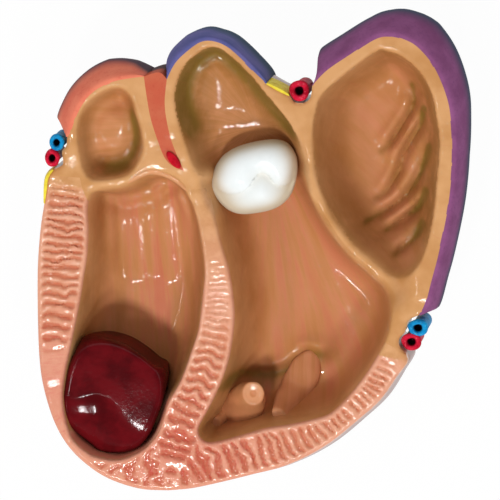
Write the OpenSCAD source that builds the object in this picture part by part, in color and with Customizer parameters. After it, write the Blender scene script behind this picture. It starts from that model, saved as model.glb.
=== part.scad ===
// Half of a human heart, cut open for teaching. It lies on its back with the section face up.
// The base of the heart points along +Y and the apex along -Y. All sizes are in millimetres.
// Every wall piece is a stack of closed rings, so neighbours share the same seam points.

/* [Overall size] */
// Width over the outer walls
heart_w = 117.3; // [104:0.1:136]
// Length from the top of the left atrium to the apex
heart_l = 129.9; // [116:0.1:150]
// Height of the section face above the flat underside
section_h = 42; // [38:1:50]

/* [Chambers] */
// Depth of the right atrium pocket
pocket_depth = 14; // [10:0.5:18]
// Depth of the right ventricle
rv_depth = 27; // [22:0.5:30]
// Depth of the left ventricle
lv_depth = 28; // [23:0.5:31]
// Depth of the outflow bowl under the great vessels
bowl_depth = 15; // [12:0.5:18]
// Depth of the left atrium
la_depth = 26; // [20:0.5:30]
// Depth of the open passage between outflow bowl and left ventricle
passage_depth = 18; // [15:0.5:20]
// Drop of the ridge between left atrium and left ventricle
mitral_drop = 6; // [4:0.5:9]
// Drop of the ledge that carries the valve ring
ledge_drop = 4; // [3:0.5:6]

/* [Outer walls] */
// Swell of the ventricle walls below the section face
ventricle_swell = 2; // [0.5:0.1:3]
// Thickness of the coloured skins at the section face
skin_edge = 1.2; // [0.8:0.1:2]
// Swell of the coral skin over the right atrium
coral_swell = 4.5; // [2:0.1:6]
// Swell of the blue skin over the great vessels
blue_swell = 2; // [0.5:0.1:4]
// How far the outer wall draws in behind the blue skin at mid height
blue_draw_in = 0.8; // [0:0.1:2.4]
// Swell of the purple skin over the left atrium
purple_swell = 5.6; // [2:0.1:7]
// Share by which the underside is narrower than the section
under_cut = 0.2; // [0.1:0.01:0.3]

/* [Section strips] */
// Thickness of the ribbed strips on the cut walls
strip_t = 3; // [2:0.25:4]
// Height of the bevel along both sides of a strip
strip_bevel = 0.8; // [0.4:0.1:1.5]
// Depth of the grooves across the strips
groove_depth = 0.7; // [0.3:0.05:1]
// Grooves across the left wall
left_grooves = 12; // [8:1:14]
// Grooves across the septum
septum_grooves = 14; // [8:1:16]
// Grooves across the right wall
right_grooves = 17; // [10:1:20]

/* [Loose pieces] */
// Clearance between a loose piece and its chamber
fit_gap = 0.35; // [0.3:0.05:0.6]
// Drop of the clot's crown below the section face
clot_crown = 1; // [0:0.25:3]
// Height from the clot's shoulder to its crown
clot_shoulder = 7; // [4:0.5:10]
// Least thickness of a loose piece at its edge
edge_t = 2; // [1.5:0.25:3]
// Drop of the valve's crown below the section face
valve_crown = 1; // [0:0.25:3]
// Height of the valve from its waist to its crown
valve_dome = 7; // [5:0.5:9]

/* [Vessels] */
// Outer diameter of the left vein and artery
left_vessel_d = 3.8; // [3:0.1:4]
// Outer diameter of the right vein
right_vein_d = 4.2; // [3.4:0.1:4.3]
// Outer diameter of the right artery
right_artery_d = 4.5; // [3.6:0.1:4.6]
// Outer diameter of the top artery
top_artery_d = 4.4; // [3.4:0.1:4.6]
// Diameter of the open lumen in each vessel
lumen_d = 1.8; // [1:0.1:2.4]
// Depth of the open lumen
lumen_depth = 6; // [3:0.5:10]
// Length of each vessel down the outside
vessel_l = 18; // [10:1:20]
// Thickness of the fat pads beside the vessels
fat_t = 1.5; // [1:0.1:2.4]
// Thickness of the fat pads at their ends
fat_end_t = 0.5; // [0.3:0.1:0.9]
// Length of the fat pads down the outside
fat_l = 14; // [8:1:18]

/* [Small forms] */
// Radius of the valve ring between right atrium and right ventricle
ring_r = 1.5; // [1:0.1:2]
// Length, width and height of the conduction node
node_l = 5.6; // [4:0.1:7]
node_w = 2.4; // [1.6:0.1:3]
node_h = 0.6; // [0.4:0.1:1]
// Thickness of the cut papillary muscle
stump_d = 5.8; // [5:0.1:6.4]
// Thickness of the long papillary muscle
long_d = 7; // [6:0.1:7.6]
// Thickness of the small papillary muscle
small_d = 3.8; // [3:0.1:4.2]
// Clearance under the fixed pieces that stand on a chamber floor
seat_gap = 0.25; // [0.2:0.05:0.5]

/* [Hidden] */
$fn = 32;

// The outlines below are drawn at this size and scaled to heart_w and heart_l.
drawn_w = 117.3;
drawn_l = 129.9;
// From the drawing's zero to the middle of the heart
middle_x = 1.12;
middle_y = 0.84;

function at(p) = [(p.x + middle_x) * heart_w / drawn_w, (p.y + middle_y) * heart_l / drawn_l];
function place(pts) = [for (p = pts) at(p)];
function mix(a, b, t) = a + (b - a) * t;
function back(pts) = [for (i = [len(pts) - 1 : -1 : 0]) pts[i]];
function flat(p) = [p.x, p.y];
function mean(pts) = [for (k = [0 : len(pts[0]) - 1]) sum([for (p = pts) p[k]]) / len(pts)];
function sum(v, i = 0) = i == len(v) ? 0 : v[i] + sum(v, i + 1);

// A curve through four points, from the second to the third
function curve_point(a, b, c, d, t) =
    0.5 * (2 * b + (c - a) * t + (2 * a - 5 * b + 4 * c - d) * t * t + (3 * b - a - 3 * c + d) * t * t * t);
// An open curve through points, with n steps from each to the next
function open_curve(pts, n) = let (m = len(pts) - 1) [
    for (i = [0 : m - 1], j = [0 : n - 1])
        curve_point(pts[max(i - 1, 0)], pts[i], pts[i + 1], pts[min(i + 2, m)], j / n),
    pts[m]
];
// A closed curve through points
function closed_curve(pts, n) = let (m = len(pts)) [
    for (i = [0 : m - 1], j = [0 : n - 1])
        curve_point(pts[(i + m - 1) % m], pts[i], pts[(i + 1) % m], pts[(i + 2) % m], j / n)
];

// Seams between the wall pieces, and the outer edges of the section face, all anticlockwise.
seam_atrium_ventricle = place([
    [-56.4, 12], [-51.6, 14.4], [-45.6, 17.1], [-40, 16.7], [-33.8, 18], [-28.4, 21.2],
    [-24, 21.5], [-18.6, 21.2]
]);
septum_left_seam = place([
    [-18.6, 21.2], [-21.9, 22.6], [-24, 24.9], [-25.7, 29.3], [-27.5, 35], [-28.6, 40.9],
    [-29.4, 46.6]
]);
septum_right_seam = place([
    [-18.6, 21.2], [-19.7, 23.6], [-21.9, 29], [-23.3, 35], [-23.8, 40.1], [-23.2, 46]
]);
coral_edge = open_curve(place([
    [-29.4, 46.6], [-33.8, 46], [-38.1, 45], [-42.4, 42.8], [-45.9, 39.3], [-48.1, 35],
    [-49.1, 32], [-50.2, 30.1]
]), 2);
left_groove = place([[-50.2, 30.1], [-50.4, 27.7], [-51.6, 26], [-51.4, 22.6], [-54, 21.2]]);
left_fat_edge = open_curve(place([[-54, 21.2], [-55.4, 19], [-55.9, 15.8], [-56.4, 12]]), 2);
rv_edge = open_curve(place([
    [-56.4, 12], [-57.4, 5.4], [-58.2, -5.3], [-58.2, -18], [-57.8, -29.6], [-56.7, -37.7],
    [-53.9, -47], [-49.9, -54], [-44.4, -59.3], [-38.3, -62.9], [-30.5, -65.2], [-23, -65.5]
]), 2);
septum_seam = place([
    [-23, -65.5], [-21.9, -57.9], [-20.2, -51.2], [-18.4, -45], [-15.1, -37.7], [-11.9, -27.9],
    [-10, -19.3], [-9.7, -10.7], [-11.1, 0.1], [-13.2, 9.6], [-15.7, 16.3], [-18.6, 21.2]
]);
lv_edge = open_curve(place([
    [-23, -65.5], [-17, -64.9], [-10.3, -63.4], [-0.8, -60.9], [9.2, -58], [19.5, -52.6],
    [28.9, -44.9], [34.3, -39.9], [38.7, -33.6], [41.5, -29.8], [41.2, -27.4]
]), 2);
right_groove = place([
    [41.2, -27.4], [39.5, -25.6], [39.3, -23.6], [40.9, -21.5], [42, -18.4], [44.8, -16.9]
]);
mitral_seam = place([
    [44.8, -16.9], [40.2, -12.8], [36.5, -9.6], [32.4, -6.1], [28.4, -2.6], [24.8, 0.7],
    [20.2, 8.2], [17, 14.4], [15.1, 20.4], [14.6, 25.8]
]);
passage_seam = place([
    [14.6, 25.8], [13.7, 25.5], [13.2, 25], [12.2, 24.4], [8, 22.6], [1.4, 20.7], [-4.9, 19.6],
    [-10.5, 19.3], [-13.2, 19.8], [-14.6, 20.4], [-15.9, 20.8], [-18.6, 21.2]
]);
purple_edge = open_curve(place([
    [44.8, -16.9], [46.4, -13.9], [48, -7.7], [50, 0.1], [52.5, 13], [53.5, 25], [53.2, 35],
    [52, 42], [48.6, 50], [44.3, 55.2], [40.5, 57.4], [36.7, 58.2], [32.7, 57.4],
    [25.1, 52.5], [19.7, 48.7], [15.9, 44.7]
]), 2);
top_right_groove = place([[15.9, 44.7], [15.3, 41.2], [13.5, 39.9]]);
outflow_seam = place([[13.5, 39.9], [13.2, 36.6], [13.5, 32], [14.6, 25.8]]);
top_left_groove = place([[13.5, 39.9], [11.1, 40.1], [9.7, 42]]);
top_fat_edge = open_curve(place([[9.7, 42], [6.8, 43.3], [3.6, 45.1]]), 2);
blue_edge = open_curve(place([
    [3.6, 45.1], [-0.1, 48.6], [-3.6, 52.1], [-7, 54.9], [-10.5, 56.3], [-13.8, 56.2],
    [-17.2, 54], [-20.9, 50.4], [-23.2, 46]
]), 2);
septum_top = at([-25.4, 47.8]);

// Mouths of the chambers in the section face
pocket_mouth = closed_curve(place([
    [-36.5, 43.6], [-40.8, 42.3], [-44.3, 39.6], [-46.7, 35.8], [-47.5, 30.9], [-47, 26.3],
    [-45.9, 21.2], [-43.5, 18.6], [-38.1, 18.6], [-33.6, 20.2], [-31.1, 23.4], [-29.7, 27.1],
    [-30, 31.5], [-31.3, 36], [-33.2, 41.4]
]), 2);
rv_mouth = closed_curve(place([
    [-43, 15], [-44.8, 11.5], [-44.6, 5.3], [-44.8, -1.2], [-45.9, -8.5], [-47.2, -16.3],
    [-49.4, -26.9], [-51, -34.4], [-51.6, -40.4], [-51, -45.8], [-48.9, -52], [-44.6, -55.8],
    [-40.5, -57.1], [-36.5, -57.4], [-32.1, -55.8], [-28.4, -53.3], [-25.4, -49.3],
    [-23, -41.7], [-19.7, -35.5], [-17, -28.2], [-14.9, -21.5], [-13.8, -13.4], [-13.2, -6.3],
    [-13.8, 0.1], [-15.3, 8.2], [-17.4, 13.6], [-20.6, 17.6], [-24.6, 19.5], [-28.4, 19],
    [-33.2, 16.2], [-38.4, 15]
]), 2);
lv_mouth = closed_curve(place([
    [-14.2, 18.9], [-11.9, 13.9], [-10, 7.4], [-8.1, 0.1], [-6.5, -5.5], [-5.4, -12.8],
    [-5.1, -19.3], [-6.2, -27.9], [-8.1, -34.4], [-11.3, -41.7], [-13.8, -46.3], [-14.9, -49],
    [-14, -51.4], [-11.1, -52.3], [-3.8, -50.4], [3.5, -48.2], [10, -47.1], [16.5, -45.5],
    [20.8, -43.9], [25.1, -39.8], [29.4, -34.4], [33.2, -28.5], [35.6, -23.6], [36.7, -19.3],
    [36.7, -15], [35.2, -11], [31.1, -7.1], [25.9, -2.5], [22.8, 1.2], [19, 7.2], [15.9, 13.2],
    [14.1, 19], [13.3, 23.2], [11.8, 23.4], [7.8, 21.8], [1.4, 19.9], [-4.9, 18.8],
    [-10.6, 18.5]
]), 2);
bowl_mouth = closed_curve(place([
    [-11.1, 54.8], [-14.9, 53.1], [-18.1, 50.1], [-20.2, 46.3], [-21.1, 42], [-20.8, 37.4],
    [-19.4, 32.3], [-17.6, 26.9], [-15.4, 21.9], [-10.5, 20.2], [-4.9, 20.5], [1.4, 21.6],
    [7.6, 23.4], [11.8, 25.2], [12.9, 26.7], [11.6, 30.9], [9.4, 35], [6.7, 38.5], [3.6, 42],
    [0.3, 46.1], [-2.7, 49.3], [-5.4, 51.8], [-8.1, 53.8]
]), 2);
la_mouth = closed_curve(place([
    [33.2, 54.1], [25.7, 48.7], [18.6, 42.3], [16.9, 37.9], [16.1, 33.1], [16.2, 26.9],
    [17, 20.4], [19.2, 13.9], [22.7, 7.4], [27, 0.9], [30.8, -2.4], [34.3, -5.7], [37.3, -7.5],
    [40.5, -7], [43.7, -4.5], [46.2, 0.4], [48.3, 9.6], [49.4, 20.4], [50, 29], [49.4, 35.2],
    [47.8, 43.1], [44.6, 48.7], [40.2, 52.5], [36.2, 54]
]), 2);

// Outlines of the two loose pieces
clot_outline = closed_curve(place([
    [-43.9, -22.6], [-38.9, -22.9], [-33.8, -24.4], [-28.9, -27.7], [-25.9, -30.2],
    [-23.2, -31.2], [-22.8, -34.4], [-23.8, -39.6], [-25.3, -44.1], [-27.2, -48.3],
    [-29.6, -51.6], [-32.1, -53.1], [-35.9, -53.6], [-40.2, -53.4], [-42.7, -51.4],
    [-44.6, -49.8], [-47, -48], [-48.9, -46.2], [-49.8, -43.6], [-50, -40.1], [-49.4, -36.3],
    [-48.5, -31.7], [-46.9, -27.4], [-45.2, -24]
]), 1);
valve_outline = closed_curve(place([
    [-10.6, 18.8], [-8.6, 24.2], [-5.4, 27.1], [-1.1, 28.8], [4.6, 29.9], [8.4, 29.4],
    [10.3, 27.2], [11.2, 24.9], [11.3, 22], [10.8, 18.8], [9.4, 15], [6.2, 12], [1.9, 10.7],
    [-3, 10.1], [-6.2, 11.2], [-8.7, 13.6], [-10.3, 16.1]
]), 1);

// Middles of the chambers, towards which their walls slope
pocket_middle = at([-38.4, 29.8]);
rv_middle = at([-33, -19]);
lv_middle = at([10, -16]);
bowl_middle = at([-5.7, 37.9]);
la_middle = at([34.8, 21.7]);

// The whole heart draws in below this height, just under the floor of the passage
floor_t = 2;
keel_h = section_h - passage_depth - floor_t;
// Levels up the outer wall: shares of the keel's height, and one level between keel and top
levels = [for (t = [0, 0.18, 0.4, 0.68, 1]) t * keel_h];
mid_share = 0.45;
function wall_levels(top) = [each levels, mix(keel_h, top, mid_share), top];
// Chamber section: share of the way to the middle, and share of the depth reached there
profile = [[0, 0], [0.03, 0.34], [0.09, 0.62], [0.2, 0.85], [0.38, 0.96], [0.62, 1], [1, 1]];

// A station of a wall ring: x, y, height of its top edge, swell of the outer wall, and the
// direction of the swell, which crosses the curve and at its ends turns away from the middle
end_turn = 14;
function stations(pts, drop, swell = 0) = let (m = len(pts) - 1) [
    for (i = [0 : m])
        let (d = pts[min(i + 1, m)] - pts[max(i - 1, 0)], side = [d.y, -d.x] / norm(d),
             out = mix(side, pts[i] / norm(pts[i]), pow(abs(2 * i / m - 1), end_turn)))
        [
            pts[i].x, pts[i].y, section_h - (is_list(drop) ? drop[i] : drop),
            swell * sin(180 * i / m), out.x / norm(out), out.y / norm(out)
        ]
];
// Curves joined end to end into one closed ring
function ring(curves) = [for (c = curves, i = [0 : len(c) - 2]) c[i]];

function narrow(z) = 1 - under_cut * pow(max(0, 1 - z / keel_h), 2);
// A point of the outer wall at height z, a distance out from the wall itself
function wall_point(s, z, out = 0) =
    let (q = flat(s) * narrow(z) + [s[4], s[5]] * (s[3] * sin(180 * z / section_h) + out))
    [q.x, q.y, z];

// A point of the wall's face between two of its levels
function on_wall(s, z) =
    let (l = wall_levels(section_h), j = max([for (i = [0 : len(l) - 2]) if (l[i] <= z) i]))
    mix(wall_point(s, l[j]), wall_point(s, l[j + 1]), (z - l[j]) / (l[j + 1] - l[j]));

// Where the ray from c through p crosses a closed curve
function crossing(c, p, curve) = let (d = p - c, m = len(curve)) [
    for (i = [0 : m - 1])
        let (a = curve[i] - c, b = curve[(i + 1) % m] - c, u = cross(d, a), v = cross(d, b))
        if (u * v <= 0 && u != v && mix(a, b, u / (u - v)) * d > 0) c + mix(a, b, u / (u - v))
][0];

// A chamber with its wall: middle, stations of the wall, mouth point for each station, floor height
function chamber(c, wall, mouth, depth) = [
    c, wall, [for (s = wall) crossing(c, flat(s), mouth)], section_h - depth
];
function chamber_rings(k) = [
    for (l = [0 : len(levels) + 1]) [for (s = k[1]) wall_point(s, wall_levels(s[2])[l])],
    for (f = profile) if (f[0] < 1) [
        for (i = [0 : len(k[1]) - 1])
            let (q = mix(k[2][i], k[0], f[0])) [q.x, q.y, mix(k[1][i][2], k[3], f[1])]
    ]
];

// Height of a chamber's surface or section face at p, or zero outside its wall
function surface_z(k, p) = let (c = k[0], m = len(k[1]), d = p - c, hits = [
    for (i = [0 : m - 1])
        let (j = (i + 1) % m, a = k[2][i] - c, b = k[2][j] - c, u = cross(a, d), v = cross(d, b))
        if (u >= 0 && v > 0 && a * d + b * d > 0)
            let (t = u / cross(a, b) / (u / cross(a, b) + v / cross(a, b)), q = mix(a, b, t),
                 o = crossing(c, p, [flat(k[1][i]), flat(k[1][j])]))
            [1 - norm(d) / norm(q), mix(k[1][i][2], k[1][j][2], t), o == undef ? 0 : norm(o - c)]
])
    norm(d) < 0.01 ? k[3]
    : len(hits) == 0 ? 0
    : hits[0][0] >= 0 ? mix(hits[0][1], k[3], lookup(hits[0][0], profile))
    : norm(d) < hits[0][2] ? hits[0][1] : 0;
// The highest surface of several chambers within a distance of p
function rest_z(ks, p, gap) = max([
    for (k = ks, a = [0 : 45 : 359]) surface_z(k, p + gap * [cos(a), sin(a)])
]) + gap;

// A closed solid from a stack of rings. Its ends are closed by fans from their middles, or by
// ladders where each ring goes up one side of a thin section and down the other.
module stack(rings, ladder = false) {
    n = len(rings[0]);
    last = len(rings) - 1;
    foot = len(rings) * n;
    top = last * n;
    polyhedron(points = [for (r = rings) each r, mean(rings[0]), mean(rings[last])], faces = [
        for (k = [0 : last - 1], i = [0 : n - 1]) let (j = (i + 1) % n) each [
            [k * n + i, (k + 1) * n + i, (k + 1) * n + j],
            [k * n + i, (k + 1) * n + j, k * n + j]
        ],
        if (!ladder) for (i = [0 : n - 1]) each [
            [foot, i, (i + 1) % n],
            [foot + 1, top + (i + 1) % n, top + i]
        ],
        if (ladder) for (i = [0 : n / 2 - 2]) let (j = n - 1 - i) each [
            [i, i + 1, j - 1], [i, j - 1, j],
            [top + i + 1, top + i, top + j - 1], [top + j - 1, top + i, top + j]
        ]
    ]);
}

// Drops of the shared edges below the section face, point by point along their seams
ledge_drops_atrium = [0, 0, 0.5, ledge_drop, ledge_drop, ledge_drop, ledge_drop, 0];
ledge_drops_ventricle = [
    strip_t, strip_t, strip_t, ledge_drop, ledge_drop, ledge_drop, ledge_drop, strip_t
];
mitral_drops_ventricle = [
    strip_t, strip_t, strip_t, mitral_drop * 0.75, mitral_drop, mitral_drop, mitral_drop * 0.75,
    mitral_drop * 0.4, mitral_drop * 0.15, 0
];
mitral_drops_atrium = [
    0, 0, mitral_drop * 0.4, mitral_drop * 0.75, mitral_drop, mitral_drop, mitral_drop * 0.75,
    mitral_drop * 0.4, mitral_drop * 0.15, 0
];
passage_drops = [
    0, passage_depth * 0.06, passage_depth * 0.5, passage_depth * 0.85, passage_depth,
    passage_depth, passage_depth, passage_depth, passage_depth * 0.7, passage_depth * 0.3
];
passage_drops_ventricle = [each passage_drops, strip_t, strip_t];
passage_drops_outflow = [each passage_drops, 0, 0];

right_atrium = chamber(pocket_middle, ring([
    stations(seam_atrium_ventricle, ledge_drops_atrium), stations(septum_left_seam, 0),
    stations(coral_edge, 0), stations(left_groove, 0), stations(left_fat_edge, 0)
]), pocket_mouth, pocket_depth);
right_ventricle = chamber(rv_middle, ring([
    stations(rv_edge, strip_t, ventricle_swell), stations(septum_seam, strip_t),
    stations(back(seam_atrium_ventricle), back(ledge_drops_ventricle))
]), rv_mouth, rv_depth);
left_ventricle = chamber(lv_middle, ring([
    stations(lv_edge, strip_t, ventricle_swell), stations(right_groove, strip_t),
    stations(mitral_seam, mitral_drops_ventricle), stations(passage_seam, passage_drops_ventricle),
    stations(back(septum_seam), strip_t)
]), lv_mouth, lv_depth);
outflow = chamber(bowl_middle, ring([
    stations(back(passage_seam), back(passage_drops_outflow)), stations(back(outflow_seam), 0),
    stations(top_left_groove, 0), stations(top_fat_edge, 0), stations(blue_edge, 0, -blue_draw_in),
    stations(back(septum_right_seam), 0)
]), bowl_mouth, bowl_depth);
left_atrium = chamber(la_middle, ring([
    stations(purple_edge, 0), stations(top_right_groove, 0), stations(outflow_seam, 0),
    stations(back(mitral_seam), back(mitral_drops_atrium))
]), la_mouth, la_depth);

module right_atrium_wall() { color([0.8, 0.58, 0.38]) stack(chamber_rings(right_atrium)); }
module right_ventricle_wall() { color([0.78, 0.52, 0.36]) stack(chamber_rings(right_ventricle)); }
module left_ventricle_wall() { color([0.74, 0.5, 0.32]) stack(chamber_rings(left_ventricle)); }
module outflow_wall() { color([0.7, 0.5, 0.3]) stack(chamber_rings(outflow)); }
module left_atrium_wall() { color([0.72, 0.5, 0.3]) stack(chamber_rings(left_atrium)); }

// The wedge between the two bases, from near the conduction node to the outside
septum_start = 0.12;
module atrial_septum() {
    left = stations(septum_left_seam, 0);
    right = stations([each septum_right_seam, septum_top], 0);
    color([0.9, 0.5, 0.42]) stack([
        for (i = [septum_start, each [1 : len(left) - 1]]) [
            for (z = wall_levels(section_h)) wall_point(along(left, i), z),
            for (z = back(wall_levels(section_h))) wall_point(along(right, i), z)
        ]
    ], ladder = true);
}

// Drops below the section face at which a skin's round shoulder is drawn
shoulder_drops = [13, 8, 3.5, 1, 0];
// A skin is widest above its middle
skin_rise = 1.6;
// Share of the way along each skin, and share of its swell reached there
coral_fullness = [[0, 0], [0.1, 0.45], [0.3, 0.9], [0.8, 1], [1, 0.9]];
blue_fullness = [[0, 0], [0.5, 0], [0.75, 1], [0.95, 1], [1, 0.3]];
purple_fullness = [
    [0, 0], [0.05, 0.4], [0.33, 0.43], [0.45, 0.65], [0.6, 1], [0.7, 0.9], [0.8, 0.68],
    [0.93, 0.74], [1, 0.1]
];
// A skin on the outside of an edge curve, thin at the section face and at both ends
module skin(edge, swell, fullness, draw_in = 0) {
    m = len(edge) - 1;
    s = stations(edge, 0, -draw_in);
    foot = levels[1];
    zs = [for (l = levels) if (l >= foot) l, for (d = shoulder_drops) section_h - d];
    stack([
        for (i = [0 : m]) [
            for (z = zs) on_wall(s[i], z),
            for (z = back(zs))
                let (up = pow((z - foot) / (section_h - foot), skin_rise))
                wall_point(s[i], z, skin_edge + swell * lookup(i / m, fullness) * sin(180 * up))
        ]
    ], ladder = true);
}
module coral_skin() { color([0.92, 0.42, 0.36])
    skin(coral_edge, coral_swell, coral_fullness); }
module blue_skin() { color([0.4, 0.38, 0.65])
    skin(blue_edge, blue_swell, blue_fullness, blue_draw_in); }
module purple_skin() { color([0.53, 0.3, 0.5])
    skin(purple_edge, purple_swell, purple_fullness); }

// A point part of the way along a list of points
function along(pts, t) = let (i = min(floor(t), len(pts) - 2)) mix(pts[i], pts[i + 1], t - i);
// Shares of a strip's width, from either side, where its flat crown begins
crown_share = 0.12;
septum_crown_share = 0.25;
// Depth of the grooves a share t of the way along a strip
function groove(t, count) = groove_depth * pow(abs(cos(180 * t * count)), 3);
// A ribbed strip that lies on the section face between lines a and b
module strip(a, b, count) {
    steps = max(count, 4) * 4;
    low = section_h - strip_t;
    side = section_h - strip_bevel;
    stack([
        for (k = [0 : steps])
            let (t = k / steps * (len(a) - 1), p = along(a, t), q = along(b, t),
                 z = section_h - (count > 0 ? groove(k / steps, count) : 0))
            [
                [q.x, q.y, low], [q.x, q.y, side],
                mix([q.x, q.y, z], [p.x, p.y, z], crown_share),
                mix([p.x, p.y, z], [q.x, q.y, z], crown_share),
                [p.x, p.y, side], [p.x, p.y, low]
            ]
    ], ladder = true);
}
// The outer line of a strip follows the wall's top edge
function edge_line(k, from, to) = [
    for (i = [from : to]) let (s = k[1][(i + len(k[1])) % len(k[1])]) flat(wall_point(s, s[2]))
];
function mouth_line(k, from, to) = [for (i = [from : to]) k[2][(i + len(k[1])) % len(k[1])]];

rv_steps = len(rv_edge) - 1;
lv_steps = len(lv_edge) - 1;
septum_steps = len(septum_seam) - 1;
// Stations where the left wall strip ends and the apex strip begins
apex_start = 12;

module left_wall_strip() {
    color([0.88, 0.56, 0.48]) strip(edge_line(right_ventricle, -2, apex_start),
        mouth_line(right_ventricle, -2, apex_start), left_grooves);
}
module apex_strip() {
    color([0.86, 0.5, 0.44]) strip(edge_line(right_ventricle, apex_start, rv_steps),
        mouth_line(right_ventricle, apex_start, rv_steps), 0);
}
module right_wall_strip() {
    last = lv_steps + len(right_groove) - 1 + 2;
    color([0.9, 0.6, 0.48]) strip(edge_line(left_ventricle, 0, last),
        mouth_line(left_ventricle, 0, last), right_grooves);
}
// The septum's strip spans the walls of both ventricles
module septum_strip() {
    m = septum_steps - 1;
    steps = septum_grooves * 4;
    low = section_h - strip_t;
    a = mouth_line(right_ventricle, rv_steps, rv_steps + m);
    s = [for (i = [0 : m]) flat(septum_seam[i])];
    b = [for (i = [0 : m]) left_ventricle[2][(len(left_ventricle[1]) - i) % len(left_ventricle[1])]];
    color([0.88, 0.55, 0.46]) stack([
        for (k = [0 : steps])
            let (t = k / steps * m, p = along(a, t), c = along(s, t), q = along(b, t),
                 z = section_h - groove(k / steps, septum_grooves))
            [
                [q.x, q.y, low], [c.x, c.y, low], [p.x, p.y, low],
                [p.x, p.y, section_h - strip_bevel],
                mix([p.x, p.y, z], [c.x, c.y, z], septum_crown_share),
                mix([q.x, q.y, z], [c.x, c.y, z], septum_crown_share),
                [q.x, q.y, section_h - strip_bevel]
            ]
    ]);
}

// Rings of a tube along points with a radius at each, kept off the chamber surfaces below it
function tube(path, radii, sides, ks) = let (m = len(path) - 1) [
    for (i = [0 : m])
        let (d = path[min(i + 1, m)] - path[max(i - 1, 0)],
             side = cross(d, [0, 0, 1]) / norm(cross(d, [0, 0, 1])),
             up = cross(side, d) / norm(cross(side, d)))
        [
            for (a = [0 : 360 / sides : 359])
                let (p = path[i] + radii[i] * (side * cos(a) - up * sin(a)))
                [p.x, p.y, max(p.z, rest_z(ks, flat(p), seat_gap))]
        ]
];
// A path with heights above a chamber's surface
function path_on(ks, pts) = [for (p = pts) let (q = at(flat(p))) [q.x, q.y, rest_z(ks, q, seat_gap) + p.z]];

module valve_ring() {
    line = open_curve([for (i = [3 : 6]) seam_atrium_ventricle[i]], 4);
    path = [for (i = [0 : len(line) - 3]) [line[i].x, line[i].y, section_h - ledge_drop + seat_gap + ring_r]];
    color([0.86, 0.6, 0.42]) stack(tube(path, [for (i = [0 : len(path) - 1]) ring_r], 10,
        [right_atrium, right_ventricle]));
}
// The conduction node is a low oval dome at the foot of the wedge, turned to the wedge's slope
node_place = at([-21.4, 24.2]);
node_turn = -51;
module conduction_node() {
    color([0.75, 0.1, 0.15]) translate(node_place) rotate(node_turn) stack([
        for (h = [0, 0.35, 0.7, 1]) [
            for (a = [0 : 20 : 359]) let (r = sqrt(1 - h * h * 0.9))
                [node_l / 2 * r * cos(a), node_w / 2 * r * sin(a), section_h + node_h * h]
        ]
    ]);
}
// The papillary muscles stand on the floor of the left ventricle. Each point of a path has its
// height above the floor, and each radius is a share of the muscle's thickness.
module papillary_stump() {
    path = path_on([left_ventricle], [
        [-7.5, -46, 1.5], [-4.6, -43.8, 2.5], [-1.6, -40.9, 6], [1, -38.4, 11]
    ]);
    radii = stump_d * [0.31, 0.45, 0.5, 0.5];
    color([0.85, 0.6, 0.45]) stack(tube(path, radii, 14, [left_ventricle]));
}
module papillary_long() {
    path = path_on([left_ventricle], [
        [15.2, -27.6, 0.4], [12.2, -32.6, 1.4], [8.6, -38, 2.4], [5.6, -42.2, 3.4], [3, -45.6, 3]
    ]);
    radii = long_d * [0.14, 0.37, 0.5, 0.46, 0.26];
    color([0.82, 0.56, 0.4]) stack(tube(path, radii, 14, [left_ventricle]));
}
module papillary_small() {
    path = path_on([left_ventricle], [[-9.8, -47.6, 0.5], [-8.8, -46.6, 3], [-7.8, -45.4, 6.5]]);
    radii = small_d * [0.37, 0.5, 0.5];
    color([0.84, 0.58, 0.42]) stack(tube(path, radii, 12, [left_ventricle]));
}

// A cut vessel that runs down the outside, with an open lumen and a round lower end
module vessel(p, d) {
    q = at(p);
    translate([q.x, q.y, section_h - vessel_l]) difference() {
        union() {
            translate([0, 0, d / 2]) cylinder(d = d, h = vessel_l - d / 2);
            translate([0, 0, d / 2]) sphere(d = d);
        }
        translate([0, 0, vessel_l - lumen_depth]) cylinder(d = lumen_d, h = lumen_depth + 1);
    }
}
module left_vein() { color([0.1, 0.55, 0.78]) vessel([-53.1, 28.3], left_vessel_d); }
module left_artery() { color([0.8, 0.1, 0.2]) vessel([-54.4, 24.4], left_vessel_d); }
module top_artery() { color([0.8, 0.1, 0.2]) vessel([12.6, 42.9], top_artery_d); }
module right_vein() { color([0.1, 0.55, 0.78]) vessel([44.8, -20.4], right_vein_d); }
module right_artery() { color([0.8, 0.1, 0.2]) vessel([42.6, -24.4], right_artery_d); }

// Angle of the pads' round section left out at their upper and lower ends
fat_round = 20;
// A pad of fat on the outside of an edge curve
module fat_pad(edge) {
    m = len(edge) - 1;
    s = stations(edge, 0);
    zs = [for (l = [0 : 0.2 : 1]) section_h - fat_l * (1 - l)];
    stack([
        for (i = [0 : m]) [
            for (z = zs) on_wall(s[i], z),
            for (z = back(zs)) wall_point(s[i], z, fat_end_t + (fat_t - fat_end_t)
                * sin(180 * i / m) * sin(fat_round + (180 - 2 * fat_round) * (z - section_h + fat_l) / fat_l))
        ]
    ], ladder = true);
}
module left_fat_pad() { color([0.93, 0.84, 0.25]) fat_pad(left_fat_edge); }
module top_fat_pad() { color([0.93, 0.84, 0.25]) fat_pad(top_fat_edge); }

// The outline of a loose piece, drawn in towards its middle
function around(outline, f) = let (c = mean(outline)) [for (p = back(outline)) mix(c, p, f)];
// The clot fills the lower end of the right ventricle and lifts out along Z
module clot() {
    ks = [right_ventricle];
    crown = section_h - clot_crown;
    color([0.4, 0.03, 0.07]) stack([
        for (f = [0.3, 0.6, 0.8, 0.92, 1])
            [for (p = around(clot_outline, f)) [p.x, p.y, rest_z(ks, p, fit_gap)]],
        for (f = [1, 0.95, 0.84, 0.62, 0.32])
            [for (p = around(clot_outline, f)) [p.x, p.y, max(
                crown - clot_shoulder * pow(f, 6), rest_z(ks, p, fit_gap) + edge_t * (2 - f))]]
    ]);
}
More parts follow.
